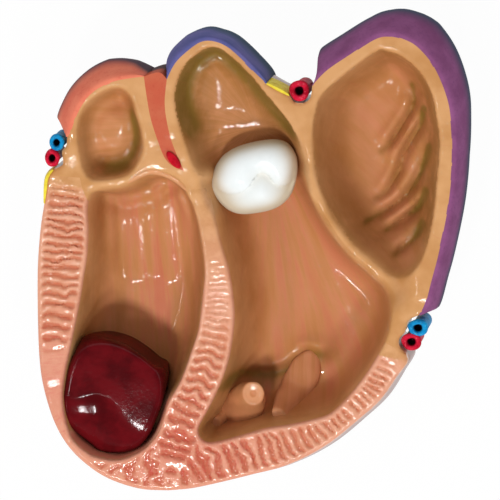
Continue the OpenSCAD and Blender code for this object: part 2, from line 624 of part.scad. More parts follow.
// The valve stands on the floor of the passage between its walls and lifts out along Z
module aortic_valve() {
    ks = [outflow, left_ventricle];
    waist = section_h - valve_crown - valve_dome;
    seat = section_h - passage_depth + fit_gap;
    color([0.95, 0.95, 0.93]) stack([
        for (f = [0.25, 0.5, 0.72, 0.88, 0.97])
            [for (p = around(valve_outline, f))
                [p.x, p.y, max(rest_z(ks, p, fit_gap), mix(seat, waist, 1 - sqrt(1 - f * f)))]],
        for (f = [1, 0.97, 0.88, 0.7, 0.4])
            [for (p = around(valve_outline, f))
                [p.x, p.y, max(waist + valve_dome * sqrt(1 - f * f), rest_z(ks, p, fit_gap) + edge_t)]]
    ]);
}

right_atrium_wall();
right_ventricle_wall();
left_ventricle_wall();
outflow_wall();
left_atrium_wall();
atrial_septum();
coral_skin();
blue_skin();
purple_skin();
left_wall_strip();
apex_strip();
septum_strip();
right_wall_strip();
valve_ring();
conduction_node();
papillary_stump();
papillary_long();
papillary_small();
left_vein();
left_artery();
top_artery();
right_vein();
right_artery();
left_fat_pad();
top_fat_pad();
clot();
aortic_valve();
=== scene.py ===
"""Half of a human heart cut open for teaching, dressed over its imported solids.
Forms are worked out in millimetres in the frame's own axes and become metres in make()."""
import math
import bpy
import numpy as np
from mathutils import Matrix, Vector
from mathutils.geometry import delaunay_2d_cdt


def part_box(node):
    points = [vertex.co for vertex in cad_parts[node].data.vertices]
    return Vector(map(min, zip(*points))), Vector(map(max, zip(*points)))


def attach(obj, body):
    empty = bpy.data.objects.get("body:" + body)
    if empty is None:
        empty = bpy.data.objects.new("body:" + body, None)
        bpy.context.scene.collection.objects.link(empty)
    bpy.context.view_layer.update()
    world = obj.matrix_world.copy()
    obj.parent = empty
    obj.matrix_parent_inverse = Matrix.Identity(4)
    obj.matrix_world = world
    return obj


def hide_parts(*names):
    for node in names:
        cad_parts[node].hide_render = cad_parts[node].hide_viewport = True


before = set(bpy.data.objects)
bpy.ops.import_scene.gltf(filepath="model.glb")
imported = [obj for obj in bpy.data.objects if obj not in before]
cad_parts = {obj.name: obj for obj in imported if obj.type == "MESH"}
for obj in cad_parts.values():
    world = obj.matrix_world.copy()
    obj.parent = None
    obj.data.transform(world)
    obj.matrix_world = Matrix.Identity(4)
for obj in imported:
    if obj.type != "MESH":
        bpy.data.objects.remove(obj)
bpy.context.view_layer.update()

MM = 0.001
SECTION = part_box("right_atrium_wall")[1].z / MM        # height of the section face
STRIP_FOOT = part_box("septum_strip")[0].z / MM          # underside of the ribbed strips
CLOT_LOW, CLOT_HIGH = [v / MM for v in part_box("clot")]
VALVE_LOW, VALVE_HIGH = [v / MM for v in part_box("aortic_valve")]
KEEL = 22.0                                            # below this the outer wall draws in
UNDER_CUT = 0.2                                        # share that it draws in by at its foot
MIDDLE = np.array([1.12, 0.84])                        # from the drawing's zero to the middle
PIXEL = 0.27                                           # one pixel of the photograph, in mm
PHOTO_ZERO = np.array([253.0, 250.5])                  # the drawing's zero in the photograph
LEAN = np.array([0.10, 0.13])                          # how the line of sight leans, per mm down
ON_EDGE = 0.02                                         # nearer points count as on an edge
SEED, NOISE_CELLS = 7, 64


def drawn(points):
    """Places of the drawing, in mm from the middle."""
    return np.array(points, float) + MIDDLE


def seen(*points, deep=0.0):
    """Places that the camera shows at pixels of the photograph, at a depth below the section."""
    p = np.array(points, float)
    return drawn((p - PHOTO_ZERO) * [PIXEL, -PIXEL]) - LEAN * deep


# ---------------------------------------------------------------- drawn curves
# Anticlockwise, the same points as the solids have.
SEAM_ATRIUM = [[-56.4, 12], [-51.6, 14.4], [-45.6, 17.1], [-40, 16.7], [-33.8, 18],
               [-28.4, 21.2], [-24, 21.5], [-18.6, 21.2]]
SEPTUM_LEFT = [[-18.6, 21.2], [-21.9, 22.6], [-24, 24.9], [-25.7, 29.3], [-27.5, 35],
               [-28.6, 40.9], [-29.4, 46.6]]
SEPTUM_RIGHT = [[-18.6, 21.2], [-19.7, 23.6], [-21.9, 29], [-23.3, 35], [-23.8, 40.1],
                [-23.2, 46]]
CORAL_EDGE = [[-29.4, 46.6], [-33.8, 46], [-38.1, 45], [-42.4, 42.8], [-45.9, 39.3],
              [-48.1, 35], [-49.1, 32], [-50.2, 30.1]]
LEFT_GROOVE = [[-50.2, 30.1], [-50.4, 27.7], [-51.6, 26], [-51.4, 22.6], [-54, 21.2]]
LEFT_FAT_EDGE = [[-54, 21.2], [-55.4, 19], [-55.9, 15.8], [-56.4, 12]]
RV_EDGE = [[-56.4, 12], [-57.4, 5.4], [-58.2, -5.3], [-58.2, -18], [-57.8, -29.6],
           [-56.7, -37.7], [-53.9, -47], [-49.9, -54], [-44.4, -59.3], [-38.3, -62.9],
           [-30.5, -65.2], [-23, -65.5]]
SEPTUM_SEAM = [[-23, -65.5], [-21.9, -57.9], [-20.2, -51.2], [-18.4, -45], [-15.1, -37.7],
               [-11.9, -27.9], [-10, -19.3], [-9.7, -10.7], [-11.1, 0.1], [-13.2, 9.6],
               [-15.7, 16.3], [-18.6, 21.2]]
LV_EDGE = [[-23, -65.5], [-17, -64.9], [-10.3, -63.4], [-0.8, -60.9], [9.2, -58],
           [19.5, -52.6], [28.9, -44.9], [34.3, -39.9], [38.7, -33.6], [41.5, -29.8],
           [41.2, -27.4]]
RIGHT_GROOVE = [[41.2, -27.4], [39.5, -25.6], [39.3, -23.6], [40.9, -21.5], [42, -18.4],
                [44.8, -16.9]]
MITRAL_SEAM = [[44.8, -16.9], [40.2, -12.8], [36.5, -9.6], [32.4, -6.1], [28.4, -2.6],
               [24.8, 0.7], [20.2, 8.2], [17, 14.4], [15.1, 20.4], [14.6, 25.8]]
PASSAGE_SEAM = [[14.6, 25.8], [13.7, 25.5], [13.2, 25], [12.2, 24.4], [8, 22.6], [1.4, 20.7],
                [-4.9, 19.6], [-10.5, 19.3], [-13.2, 19.8], [-14.6, 20.4], [-15.9, 20.8],
                [-18.6, 21.2]]
PURPLE_EDGE = [[44.8, -16.9], [46.4, -13.9], [48, -7.7], [50, 0.1], [52.5, 13], [53.5, 25],
               [53.2, 35], [52, 42], [48.6, 50], [44.3, 55.2], [40.5, 57.4], [36.7, 58.2],
               [32.7, 57.4], [25.1, 52.5], [19.7, 48.7], [15.9, 44.7]]
TOP_RIGHT_GROOVE = [[15.9, 44.7], [15.3, 41.2], [13.5, 39.9]]
OUTFLOW_SEAM = [[13.5, 39.9], [13.2, 36.6], [13.5, 32], [14.6, 25.8]]
TOP_LEFT_GROOVE = [[13.5, 39.9], [11.1, 40.1], [9.7, 42]]
TOP_FAT_EDGE = [[9.7, 42], [6.8, 43.3], [3.6, 45.1]]
BLUE_EDGE = [[3.6, 45.1], [-0.1, 48.6], [-3.6, 52.1], [-7, 54.9], [-10.5, 56.3],
             [-13.8, 56.2], [-17.2, 54], [-20.9, 50.4], [-23.2, 46]]
SEPTUM_TOP = [[-23.2, 46], [-25.4, 47.8], [-29.4, 46.6]]
POCKET_MOUTH = [[-36.5, 43.6], [-40.8, 42.3], [-44.3, 39.6], [-46.7, 35.8], [-47.5, 30.9],
                [-47, 26.3], [-45.9, 21.2], [-43.5, 18.6], [-38.1, 18.6], [-33.6, 20.2],
                [-31.1, 23.4], [-29.7, 27.1], [-30, 31.5], [-31.3, 36], [-33.2, 41.4]]
RV_MOUTH = [[-43, 15], [-44.8, 11.5], [-44.6, 5.3], [-44.8, -1.2], [-45.9, -8.5],
            [-47.2, -16.3], [-49.4, -26.9], [-51, -34.4], [-51.6, -40.4], [-51, -45.8],
            [-48.9, -52], [-44.6, -55.8], [-40.5, -57.1], [-36.5, -57.4], [-32.1, -55.8],
            [-28.4, -53.3], [-25.4, -49.3], [-23, -41.7], [-19.7, -35.5], [-17, -28.2],
            [-14.9, -21.5], [-13.8, -13.4], [-13.2, -6.3], [-13.8, 0.1], [-15.3, 8.2],
            [-17.4, 13.6], [-20.6, 17.6], [-24.6, 19.5], [-28.4, 19], [-33.2, 16.2],
            [-38.4, 15]]
LV_MOUTH = [[-14.2, 18.9], [-11.9, 13.9], [-10, 7.4], [-8.1, 0.1], [-6.5, -5.5],
            [-5.4, -12.8], [-5.1, -19.3], [-6.2, -27.9], [-8.1, -34.4], [-11.3, -41.7],
            [-13.8, -46.3], [-14.9, -49], [-14, -51.4], [-11.1, -52.3], [-3.8, -50.4],
            [3.5, -48.2], [10, -47.1], [16.5, -45.5], [20.8, -43.9], [25.1, -39.8],
            [29.4, -34.4], [33.2, -28.5], [35.6, -23.6], [36.7, -19.3], [36.7, -15],
            [35.2, -11], [31.1, -7.1], [25.9, -2.5], [22.8, 1.2], [19, 7.2], [15.9, 13.2],
            [14.1, 19], [13.3, 23.2], [11.8, 23.4], [7.8, 21.8], [1.4, 19.9], [-4.9, 18.8],
            [-10.6, 18.5]]
BOWL_MOUTH = [[-11.1, 54.8], [-14.9, 53.1], [-18.1, 50.1], [-20.2, 46.3], [-21.1, 42],
              [-20.8, 37.4], [-19.4, 32.3], [-17.6, 26.9], [-15.4, 21.9], [-10.5, 20.2],
              [-4.9, 20.5], [1.4, 21.6], [7.6, 23.4], [11.8, 25.2], [12.9, 26.7],
              [11.6, 30.9], [9.4, 35], [6.7, 38.5], [3.6, 42], [0.3, 46.1], [-2.7, 49.3],
              [-5.4, 51.8], [-8.1, 53.8]]
LA_MOUTH = [[33.2, 54.1], [25.7, 48.7], [18.6, 42.3], [16.9, 37.9], [16.1, 33.1],
            [16.2, 26.9], [17, 20.4], [19.2, 13.9], [22.7, 7.4], [27, 0.9], [30.8, -2.4],
            [34.3, -5.7], [37.3, -7.5], [40.5, -7], [43.7, -4.5], [46.2, 0.4], [48.3, 9.6],
            [49.4, 20.4], [50, 29], [49.4, 35.2], [47.8, 43.1], [44.6, 48.7], [40.2, 52.5],
            [36.2, 54]]
# The opening through which the outflow bowl runs on into the left ventricle
PASSAGE = [[-11.5, 16.5], [-9.5, 14.5], [12.5, 19.5], [12.3, 27.5], [8, 28], [-10, 26],
           [-13, 23]]
CLOT_OUTLINE = [[-43.9, -22.6], [-38.9, -22.9], [-33.8, -24.4], [-28.9, -27.7], [-25.9, -30.2],
                [-23.2, -31.2], [-22.8, -34.4], [-23.8, -39.6], [-25.3, -44.1], [-27.2, -48.3],
                [-29.6, -51.6], [-32.1, -53.1], [-35.9, -53.6], [-40.2, -53.4], [-42.7, -51.4],
                [-44.6, -49.8], [-47, -48], [-48.9, -46.2], [-49.8, -43.6], [-50, -40.1],
                [-49.4, -36.3], [-48.5, -31.7], [-46.9, -27.4], [-45.2, -24]]
VALVE_OUTLINE = [[-10.6, 18.8], [-8.6, 24.2], [-5.4, 27.1], [-1.1, 28.8], [4.6, 29.9],
                 [8.4, 29.4], [10.3, 27.2], [11.2, 24.9], [11.3, 22], [10.8, 18.8], [9.4, 15],
                 [6.2, 12], [1.9, 10.7], [-3, 10.1], [-6.2, 11.2], [-8.7, 13.6], [-10.3, 16.1]]


# ---------------------------------------------------------------- plane geometry
def smooth(points, closed=False, step=0.5):
    """A smooth curve through points, with a point about every step."""
    p = np.asarray(points, float)
    n = len(p)
    out = []
    for i in range(n if closed else n - 1):
        if closed:
            a, b, c, d = p[i - 1], p[i], p[(i + 1) % n], p[(i + 2) % n]
        else:
            a, b, c, d = p[max(i - 1, 0)], p[i], p[i + 1], p[min(i + 2, n - 1)]
        for t in np.arange(0, 1, 0.125):
            out.append(0.5 * (2 * b + (c - a) * t + (2 * a - 5 * b + 4 * c - d) * t * t
                              + (3 * b - a - 3 * c + d) * t ** 3))
    out.append(p[0] if closed else p[-1])
    return resample(np.array(out), step, closed)


def resample(line, step, closed=False):
    """The same line with evenly spaced points."""
    run = np.r_[0, np.cumsum(np.linalg.norm(np.diff(line, axis=0), axis=1))]
    n = max(2, int(round(run[-1] / step)))
    at = np.linspace(0, run[-1], n + 1)
    out = np.stack([np.interp(at, run, line[:, k]) for k in range(line.shape[1])], 1)
    return out[:-1] if closed else out


def nearest(points, line):
    """For each point, the distance to the nearest point of a line, and which point that is."""
    far = np.empty(len(points))
    which = np.empty(len(points), int)
    size = (line ** 2).sum(1)
    batch = 4000000 // len(line)
    for s in range(0, len(points), batch):
        q = points[s:s + batch]
        d = size[None] - 2 * q @ line.T
        which[s:s + batch] = d.argmin(1)
        far[s:s + batch] = np.linalg.norm(q - line[which[s:s + batch]], axis=1)
    return far, which


def inside(points, ring):
    """Whether each point lies inside a closed ring."""
    hit = np.zeros(len(points), bool)
    box = (points > ring.min(0) - 0.01).all(1) & (points < ring.max(0) + 0.01).all(1)
    q = points[box]
    odd = np.zeros(len(q), bool)
    for (ax, ay), (bx, by) in zip(ring, np.roll(ring, -1, axis=0)):
        if ay == by:
            continue
        between = (ay > q[:, 1]) != (by > q[:, 1])
        odd ^= between & (q[:, 0] < ax + (q[:, 1] - ay) * (bx - ax) / (by - ay))
    hit[box] = odd
    return hit


def within(points, ring):
    """Distance to a closed ring, positive inside it."""
    return np.where(inside(points, ring), 1, -1) * nearest(points, resample(
        np.vstack([ring, ring[:1]]), 0.25))[0]


def ease(t):
    """A soft step from 0 to 1."""
    t = np.clip(t, 0, 1)
    return t * t * (3 - 2 * t)


def bump(distance, width):
    """A bell: 1 at no distance, about a third at its width."""
    return np.exp(-(distance / width) ** 2)


def ripple(x, y, seed):
    """Smooth seeded noise of about -1 to 1, one cell per unit."""
    n = NOISE_CELLS
    cells = np.random.default_rng(SEED + seed).uniform(-1, 1, (n, n))
    i, j = np.floor(x).astype(int), np.floor(y).astype(int)
    u, v = ease(x - i), ease(y - j)
    a, b = cells[i % n, j % n], cells[(i + 1) % n, j % n]
    c, d = cells[i % n, (j + 1) % n], cells[(i + 1) % n, (j + 1) % n]
    return (a * (1 - u) + b * u) * (1 - v) + (c * (1 - u) + d * u) * v


# ---------------------------------------------------------------- lines of the section
def numbered(points):
    """A smooth edge with, for each of its points, the share of the drawn points passed."""
    share = np.linspace(0, 1, len(points))
    line = smooth(np.column_stack([drawn(points), share]))
    return line[:, :2], line[:, 2]


DRAWN_LINES = {name: numbered(points) for name, points in {
    "seam_atrium": SEAM_ATRIUM, "septum_left": SEPTUM_LEFT, "septum_right": SEPTUM_RIGHT,
    "coral": CORAL_EDGE, "left_groove": LEFT_GROOVE, "left_fat": LEFT_FAT_EDGE,
    "rv": RV_EDGE, "septum": SEPTUM_SEAM, "lv": LV_EDGE, "right_groove": RIGHT_GROOVE,
    "mitral": MITRAL_SEAM, "passage": PASSAGE_SEAM, "purple": PURPLE_EDGE,
    "top_right_groove": TOP_RIGHT_GROOVE, "outflow": OUTFLOW_SEAM,
    "top_left_groove": TOP_LEFT_GROOVE, "top_fat": TOP_FAT_EDGE, "blue": BLUE_EDGE,
    "septum_top": SEPTUM_TOP}.items()}
LINES = {name: line for name, (line, _) in DRAWN_LINES.items()}
SHARES = {name: share for name, (_, share) in DRAWN_LINES.items()}
MOUTHS = {name: smooth(drawn(points), closed=True, step=0.45) for name, points in {
    "pocket": POCKET_MOUTH, "rv": RV_MOUTH, "lv": LV_MOUTH, "bowl": BOWL_MOUTH,
    "la": LA_MOUTH}.items()}
OUTER = ["coral", "left_groove", "left_fat", "rv", "lv", "right_groove", "purple",
         "top_right_groove", "top_left_groove", "top_fat", "blue", "septum_top"]
SKINNED = ("coral", "purple", "blue", "septum_top")
BARE = [name for name in OUTER if name not in SKINNED]
SWELLS = {"rv": 2.0, "lv": 2.0, "blue": -0.8}           # as the solids' outer walls swell
END_TURN = 14


def chain(*names):
    """A closed ring of lines joined end to end. A name with a minus is run backwards."""
    parts = [LINES[n[1:]][::-1] if n[0] == "-" else LINES[n] for n in names]
    return np.vstack([p[:-1] for p in parts])


WALLS = {
    "right_atrium_wall": chain("seam_atrium", "septum_left", "coral", "left_groove", "left_fat"),
    "right_ventricle_wall": chain("rv", "septum", "-seam_atrium"),
    "left_ventricle_wall": chain("lv", "right_groove", "mitral", "passage", "-septum"),
    "outflow_wall": chain("-passage", "-outflow", "top_left_groove", "top_fat", "blue",
                          "-septum_right"),
    "left_atrium_wall": chain("purple", "top_right_groove", "outflow", "-mitral"),
    "atrial_septum": chain("septum_right", "septum_top", "-septum_left"),
}


def out_directions(name):
    """Which way the outer wall swells at each point of an edge, and how far along it is."""
    line, along = LINES[name], SHARES[name]
    step = np.gradient(line, axis=0)
    side = np.stack([step[:, 1], -step[:, 0]], 1)
    side /= np.linalg.norm(side, axis=1)[:, None]
    away = line / np.linalg.norm(line, axis=1)[:, None]
    turn = np.abs(2 * along - 1)[:, None] ** END_TURN
    out = side * (1 - turn) + away * turn
    return out / np.linalg.norm(out, axis=1)[:, None], along


def narrow(z):
    """Scale of the outer outline at a height."""
    return 1 - UNDER_CUT * np.clip(1 - z / KEEL, 0, None) ** 2


EDGE_POINTS = np.vstack([LINES[name] for name in OUTER])
EDGE_OUT = np.vstack([out_directions(name)[0] for name in OUTER])
EDGE_SWELL = np.concatenate([SWELLS.get(name, 0) * np.sin(np.pi * SHARES[name])
                             for name in OUTER])


def wall_xy(points, z):
    """Where the outer wall or a seam that starts at points has come to at height z."""
    far, which = nearest(points, EDGE_POINTS)
    swell = np.where(far < ON_EDGE, EDGE_SWELL[which], 0)
    return points * narrow(z) + EDGE_OUT[which] * (swell * math.sin(math.pi * z / SECTION))[:, None]


# ---------------------------------------------------------------- ribbed strips
def stretch(ring, start, end):
    """Points of a ring from the one nearest to a drawn place up to that nearest to another."""
    a, b = (nearest(drawn([place]), ring)[1][0] for place in (start, end))
    n = len(ring)
    return ring[[i % n for i in range(a, (b if b >= a else b + n) + 1)]]


rv_edge, lv_edge, septum = LINES["rv"], LINES["lv"], LINES["septum"]
apex_at = nearest(drawn([[-55.3, -42.3]]), rv_edge)[1][0]
left_edge = np.vstack([LINES["left_fat"][-16:-1], rv_edge[:apex_at + 1]])
APEX_RV, APEX_LV, MID_LEFT = [-26.6, -51.2], [-14.5, -51.2], [-50.3, -48.6]
TOP_LEFT, TOP_RV, TOP_LV = [-44.7, 12.2], [-19, 16.2], [-13, 16.5]
RIGHT_END = [35.2, -24.4]
LEFT_TOP = smooth(seen((79.5, 180), (81.5, 188), (84, 196)), step=0.5)
INNER = {
    "left_wall_strip": np.vstack([LEFT_TOP, stretch(MOUTHS["rv"], TOP_LEFT, MID_LEFT)]),
    "apex_strip": stretch(MOUTHS["rv"], MID_LEFT, APEX_RV),
    "right_wall_strip": stretch(MOUTHS["lv"], APEX_LV, RIGHT_END),
    "septum_strip": np.vstack([stretch(MOUTHS["rv"], APEX_RV, TOP_RV),
                               stretch(MOUTHS["lv"], TOP_LV, APEX_LV)]),
}


def filled(*parts, step=0.5):
    """A ring made of parts, with points added where two are far apart."""
    ring, out = np.vstack(parts), []
    for a, b in zip(ring, np.roll(ring, -1, axis=0)):
        n = max(1, int(np.linalg.norm(b - a) / step))
        out += [a + (b - a) * k / n for k in range(n)]
    return np.array(out)


STRIPS = {
    "left_wall_strip": filled(left_edge, INNER["left_wall_strip"][::-1]),
    "apex_strip": filled(rv_edge[apex_at:], INNER["apex_strip"][::-1]),
    "right_wall_strip": filled(lv_edge, INNER["right_wall_strip"][::-1]),
    "septum_strip": filled(INNER["septum_strip"], septum[:1]),
}

# ---------------------------------------------------------------- height of the section
CELL = 0.35
GRID_X = np.arange(-60.2, 60.2, CELL)
GRID_Y = np.arange(-66.5, 66.5, CELL)
GX, GY = np.meshgrid(GRID_X, GRID_Y, indexing="ij")
CELLS = np.stack([GX.ravel(), GY.ravel()], 1)


def blur(field, radius):
    """A field of cells, softened."""
    f = field.reshape(GX.shape)
    kx = np.fft.fftfreq(f.shape[0], CELL)[:, None]
    ky = np.fft.rfftfreq(f.shape[1], CELL)[None]
    soft = np.exp(-2 * (math.pi * radius) ** 2 * (kx ** 2 + ky ** 2))
    return np.fft.irfft2(np.fft.rfft2(f) * soft, f.shape).ravel()


def sample(field, points):
    """A field of cells read at any points, by cubic interpolation."""
    f = field.reshape(GX.shape)
    out = 0
    place = (points - [GRID_X[0], GRID_Y[0]]) / CELL
    base = np.floor(place).astype(int)
    t = place - base
    weights = []
    for k in (0, 1):
        u = t[:, k]
        weights.append([-0.5 * u ** 3 + u ** 2 - 0.5 * u, 1.5 * u ** 3 - 2.5 * u ** 2 + 1,
                        -1.5 * u ** 3 + 2 * u ** 2 + 0.5 * u, 0.5 * u ** 3 - 0.5 * u ** 2])
    for i in range(4):
        for j in range(4):
            x = np.clip(base[:, 0] + i - 1, 0, f.shape[0] - 1)
            y = np.clip(base[:, 1] + j - 1, 0, f.shape[1] - 1)
            out = out + weights[0][i] * weights[1][j] * f[x, y]
    return out


def along_line(points, line):
    """Distance to a line and the share of its length at the nearest point."""
    fine = smooth(line, step=0.3)
    far, which = nearest(points, fine)
    return far, which / (len(fine) - 1)


def above_line(points, line):
    """How far each point lies above the line's nearest point, in y."""
    return points[:, 1] - line[nearest(points, line)[1]][:, 1]


def bend(t, width):
    """0 before t = 0 and t after it, with a rounded corner."""
    return width * np.logaddexp(0, t / width)


def wall_share(depth_in, reach, power=3.2):
    """Share of a chamber's depth at a distance in from its mouth. All of it is reached at reach."""
    return 1 - (1 - np.clip(depth_in / reach, 0, 1)) ** power


CLOT_RING = smooth(drawn(CLOT_OUTLINE), closed=True, step=0.5)
CLOT_RING = CLOT_RING.mean(0) + (CLOT_RING - CLOT_RING.mean(0)) * [1.045, 1.024] + [-1.2, -1.5]
IN = {name: within(CELLS, ring) for name, ring in MOUTHS.items()}
passage_ring = smooth(drawn(PASSAGE), closed=True)
JOINED = np.vstack([
    MOUTHS["bowl"][~inside(MOUTHS["bowl"], MOUTHS["lv"]) & ~inside(MOUTHS["bowl"], passage_ring)],
    MOUTHS["lv"][~inside(MOUTHS["lv"], MOUTHS["bowl"]) & ~inside(MOUTHS["lv"], passage_ring)],
    passage_ring[~inside(passage_ring, MOUTHS["bowl"]) & ~inside(passage_ring, MOUTHS["lv"])]])
in_joined = (IN["bowl"] > 0) | (IN["lv"] > 0) | inside(CELLS, passage_ring)
IN["joined"] = np.where(in_joined, 1, -1) * nearest(CELLS, JOINED)[0]
BARE_FAR = nearest(CELLS, np.vstack([LINES[n] for n in BARE]))[0]

# Crest between the right atrium and the right ventricle, and the mouth just below it
CREST = seen((84, 186), (100, 187.5), (115, 188), (127, 185), (132, 181), (140, 176),
             (150, 172.5), (160, 173.8), (168, 177), (175, 181), (181, 186), (187, 192))
LEDGE = drawn([[-38.4, 15], [-33.2, 16.2], [-28.4, 19], [-24.6, 19.5], [-20.6, 17.6]])
MITRAL_LOW = drawn(MITRAL_SEAM[2:7])
LA_GROOVES = [
    seen((412, 82), (414, 97), (410, 110), (403, 122), (395, 134), (388, 144), (381, 150), deep=21),
    seen((425, 104), (421, 120), (416, 130), (409, 142), (403, 155), (399, 168), (393, 180),
         (386, 190), (376, 198), deep=21),
    seen((431, 142), (423, 165), (415, 182), (405, 195), (396, 203), (385, 210), (368, 218),
         deep=21),
    seen((428, 186), (420, 203), (410, 212), (401, 219), (388, 227), deep=21),
    seen((425, 218), (416, 234), (406, 243), (397, 250), deep=19)]
# Paths of the papillary muscles: drawn place, and height above the floor
STUMP_PATH = [[-5.9, -47.4, 0], [-1.1, -40.4, 9]]
LONG_PATH = [[14.2, -30.6, 0.2], [12.2, -34.8, 1.4], [10.1, -39.7, 2.0],
             [7.6, -44.0, 2.0], [5.2, -47.4, 0.8]]
SMALL_PATH = [[-12.6, -49.6, 3.5], [-10.6, -48.2, 4], [-9.0, -46.6, 4], [-7.8, -45.4, 4]]
RECESS_LINE = seen((226, 372), (243, 366), (256, 370), (270, 371), (285, 366), (297, 357),
                   (306, 349), (318, 349), deep=24)
LIP = smooth(RECESS_LINE, step=0.2)
FAN_CENTRE = seen((252, 133))[0]
MOUND_AT, MOUND_SIZE = seen((112, 133), deep=8)[0], [5.2, 7.6]
ARC_TOP = seen((236, 110), deep=14)[0]                 # top of the arc in the bowl's floor
RV_STEP = seen((0, 281), deep=25)[0, 1]                # y of the right ventricle's zigzag step
RV_ROSE = seen((146, 250))[0, 0]                       # x of its rosy band
LA_SHALLOW, LA_PALE = seen((0, 215), (0, 235))[:, 1]   # y below which the left atrium changes
SCOOP_TOP = drawn([[0, -38]])[0, 1]                    # y below which the clot's scoop begins
CLOT_DEEP = 5                                          # depth at which the scoop meets the clot
POCKET_DEPTH, RV_DEPTH, LA_DEPTH, LA_RISE = 13, 25.5, 24, 8
RV_LEAN, STEP_SLOPE, EDGE_ROUND = 0.06, 0.26, 1.1


def rim_height(points):
    """Height of the section face between the mouths."""
    crest, share = along_line(points, CREST)
    below = above_line(points, smooth(CREST, step=0.3)) < 0
    fall = np.minimum(0.75 * (np.sqrt(crest ** 2 + 0.36) - 0.6), 3.2)
    ends = ease(share * 6) * ease((1 - share) * 6)
    low = 0.7 * bump(crest, 9) + below * ends * fall * bump(np.clip(crest - 5, 0, None), 4)
    mitral, share = along_line(points, MITRAL_LOW)
    low = low + 5.5 * bump(mitral, 4.2) * ease(1.25 - share)
    return SECTION - low


def floor_depth(points):
    """Depth of the joined cavity of bowl, passage and left ventricle."""
    y = points[:, 1] - MIDDLE[1]
    return 15 + 3 * ease((32 - y) / 8) + 10 * ease((25 - y) / 14)


def rv_across(points):
    """Place across the right ventricle's furrows, which lean a little."""
    return points[:, 0] + RV_LEAN * points[:, 1]


def fan(points):
    """Angle about the passage and distance from it: the left ventricle's furrows fan out."""
    spoke = points - FAN_CENTRE
    return np.arctan2(spoke[:, 0], -spoke[:, 1]), np.linalg.norm(spoke, axis=1)


def from_mound(points):
    """Distance from the middle of the pocket's oval mound, 1 at its foot."""
    return np.linalg.norm((points - MOUND_AT) / MOUND_SIZE, axis=1)


def floor_of(chamber):
    """1 on a chamber's floor and 0 near its mouth."""
    return ease((IN[chamber] - 2) / 3)


def clot_scoop(points, clear):
    """1 where the wall below the clot is scooped out, from a distance clear of the clot."""
    outside = -within(points, CLOT_RING - LEAN * CLOT_DEEP)
    return ease((outside - clear) / 0.5) * ease((SCOOP_TOP - points[:, 1]) / 4)


def cavities(p):
    """The section face with the chambers hollowed out of it and their edges rounded."""
    pocket = POCKET_DEPTH * wall_share(IN["pocket"], 7.5, 2.6)
    rv = RV_DEPTH * wall_share(IN["rv"], 9.5)
    joined = floor_depth(p) * 0.97 * wall_share(IN["joined"], 10)
    la_depth = LA_DEPTH - LA_RISE * ease((LA_SHALLOW - p[:, 1]) / 14)
    la = la_depth * wall_share(IN["la"], 12.5)
    # Below the clot the wall is a scoop that runs from the strips down to the clot's side
    scoop = clot_scoop(p, 0.7)
    shelf = np.minimum(rv, 0.8 + 0.9 * IN["rv"])
    rv = np.where(IN["rv"] > 0, rv * (1 - scoop) + scoop * shelf, rv)
    high = rim_height(p) - np.maximum.reduce([pocket, rv, joined, la])
    # The ledge, the mitral ridge and the passage are rounded more than the cut walls
    gentle = np.maximum.reduce([bump(along_line(p, LEDGE)[0], 2.6),
                                bump(along_line(p, MITRAL_LOW)[0], 6),
                                ease(1 + within(p, passage_ring) / 6)])
    return blur(high, 0.42) * (1 - gentle) + blur(high, 1.3) * gentle


def atrium_forms(p):
    """The oval mound in the pocket, and the muscle bands of the left atrium."""
    out = 5.0 * ease(1.45 - from_mound(p)) * ease(IN["pocket"] / 2)
    for groove in LA_GROOVES:
        far, share = along_line(p, groove)
        ends = ease(share * 3.6 + 0.12) * ease((1 - share) * 3.6 + 0.12)
        out += floor_of("la") * ends * (1.3 * bump(far - 2.3, 1.6) - 1.7 * bump(far, 1.15))
    return out


def right_ventricle_forms(p):
    """Long soft furrows, flatter where a zigzag step runs across them."""
    lean = rv_across(p)
    zigzag = 1.0 * np.sin(lean / 1.1 + 1.3 * np.sin(lean / 3.1)) + 0.4 * np.sin(lean * 1.9)
    from_step = p[:, 1] - RV_STEP + zigzag
    furrows = 0.3 * (1 - 0.85 * bump(from_step, 2.5)) * ripple(lean / 3.4, p[:, 1] / 40, 1)
    furrows += 0.05 * ripple(lean / 1.4, p[:, 1] / 24, 2)
    return floor_of("rv") * (furrows + STEP_SLOPE * bend(from_step, 0.3))


def bowl_forms(p):
    """The bowl's floor turns up along an arc."""
    arc = p[:, 1] - ARC_TOP[1] + 0.05 * (p[:, 0] - ARC_TOP[0]) ** 2
    return floor_of("bowl") * STEP_SLOPE * bend(arc, 0.4)


def left_ventricle_forms(p):
    """Fanning furrows, the recess, and swellings at the feet of the papillary muscles."""
    turn, reach = fan(p)
    out = ease((reach - 8) / 40) * (0.36 * ripple(turn * 11, reach / 50, 3)
                                    + 0.05 * ripple(turn * 30, reach / 30, 4))
    above = above_line(p, LIP)
    out -= 2.2 * ease(0.5 - above / 3.2) * ease((RECESS_LINE[-1, 0] + 3 - p[:, 0]) / 8)
    out += 0.7 * bump(above - 1.5, 1.8) * bump(along_line(p, RECESS_LINE)[0], 4)
    for path, swell, spread in ((STUMP_PATH, 2.2, 5.5), (LONG_PATH, 2.8, 5.5),
                                (SMALL_PATH, 1.5, 3.2)):
        out += swell * bump(along_line(p, drawn(np.array(path)[:, :2]))[0], spread)
    return floor_of("lv") * out


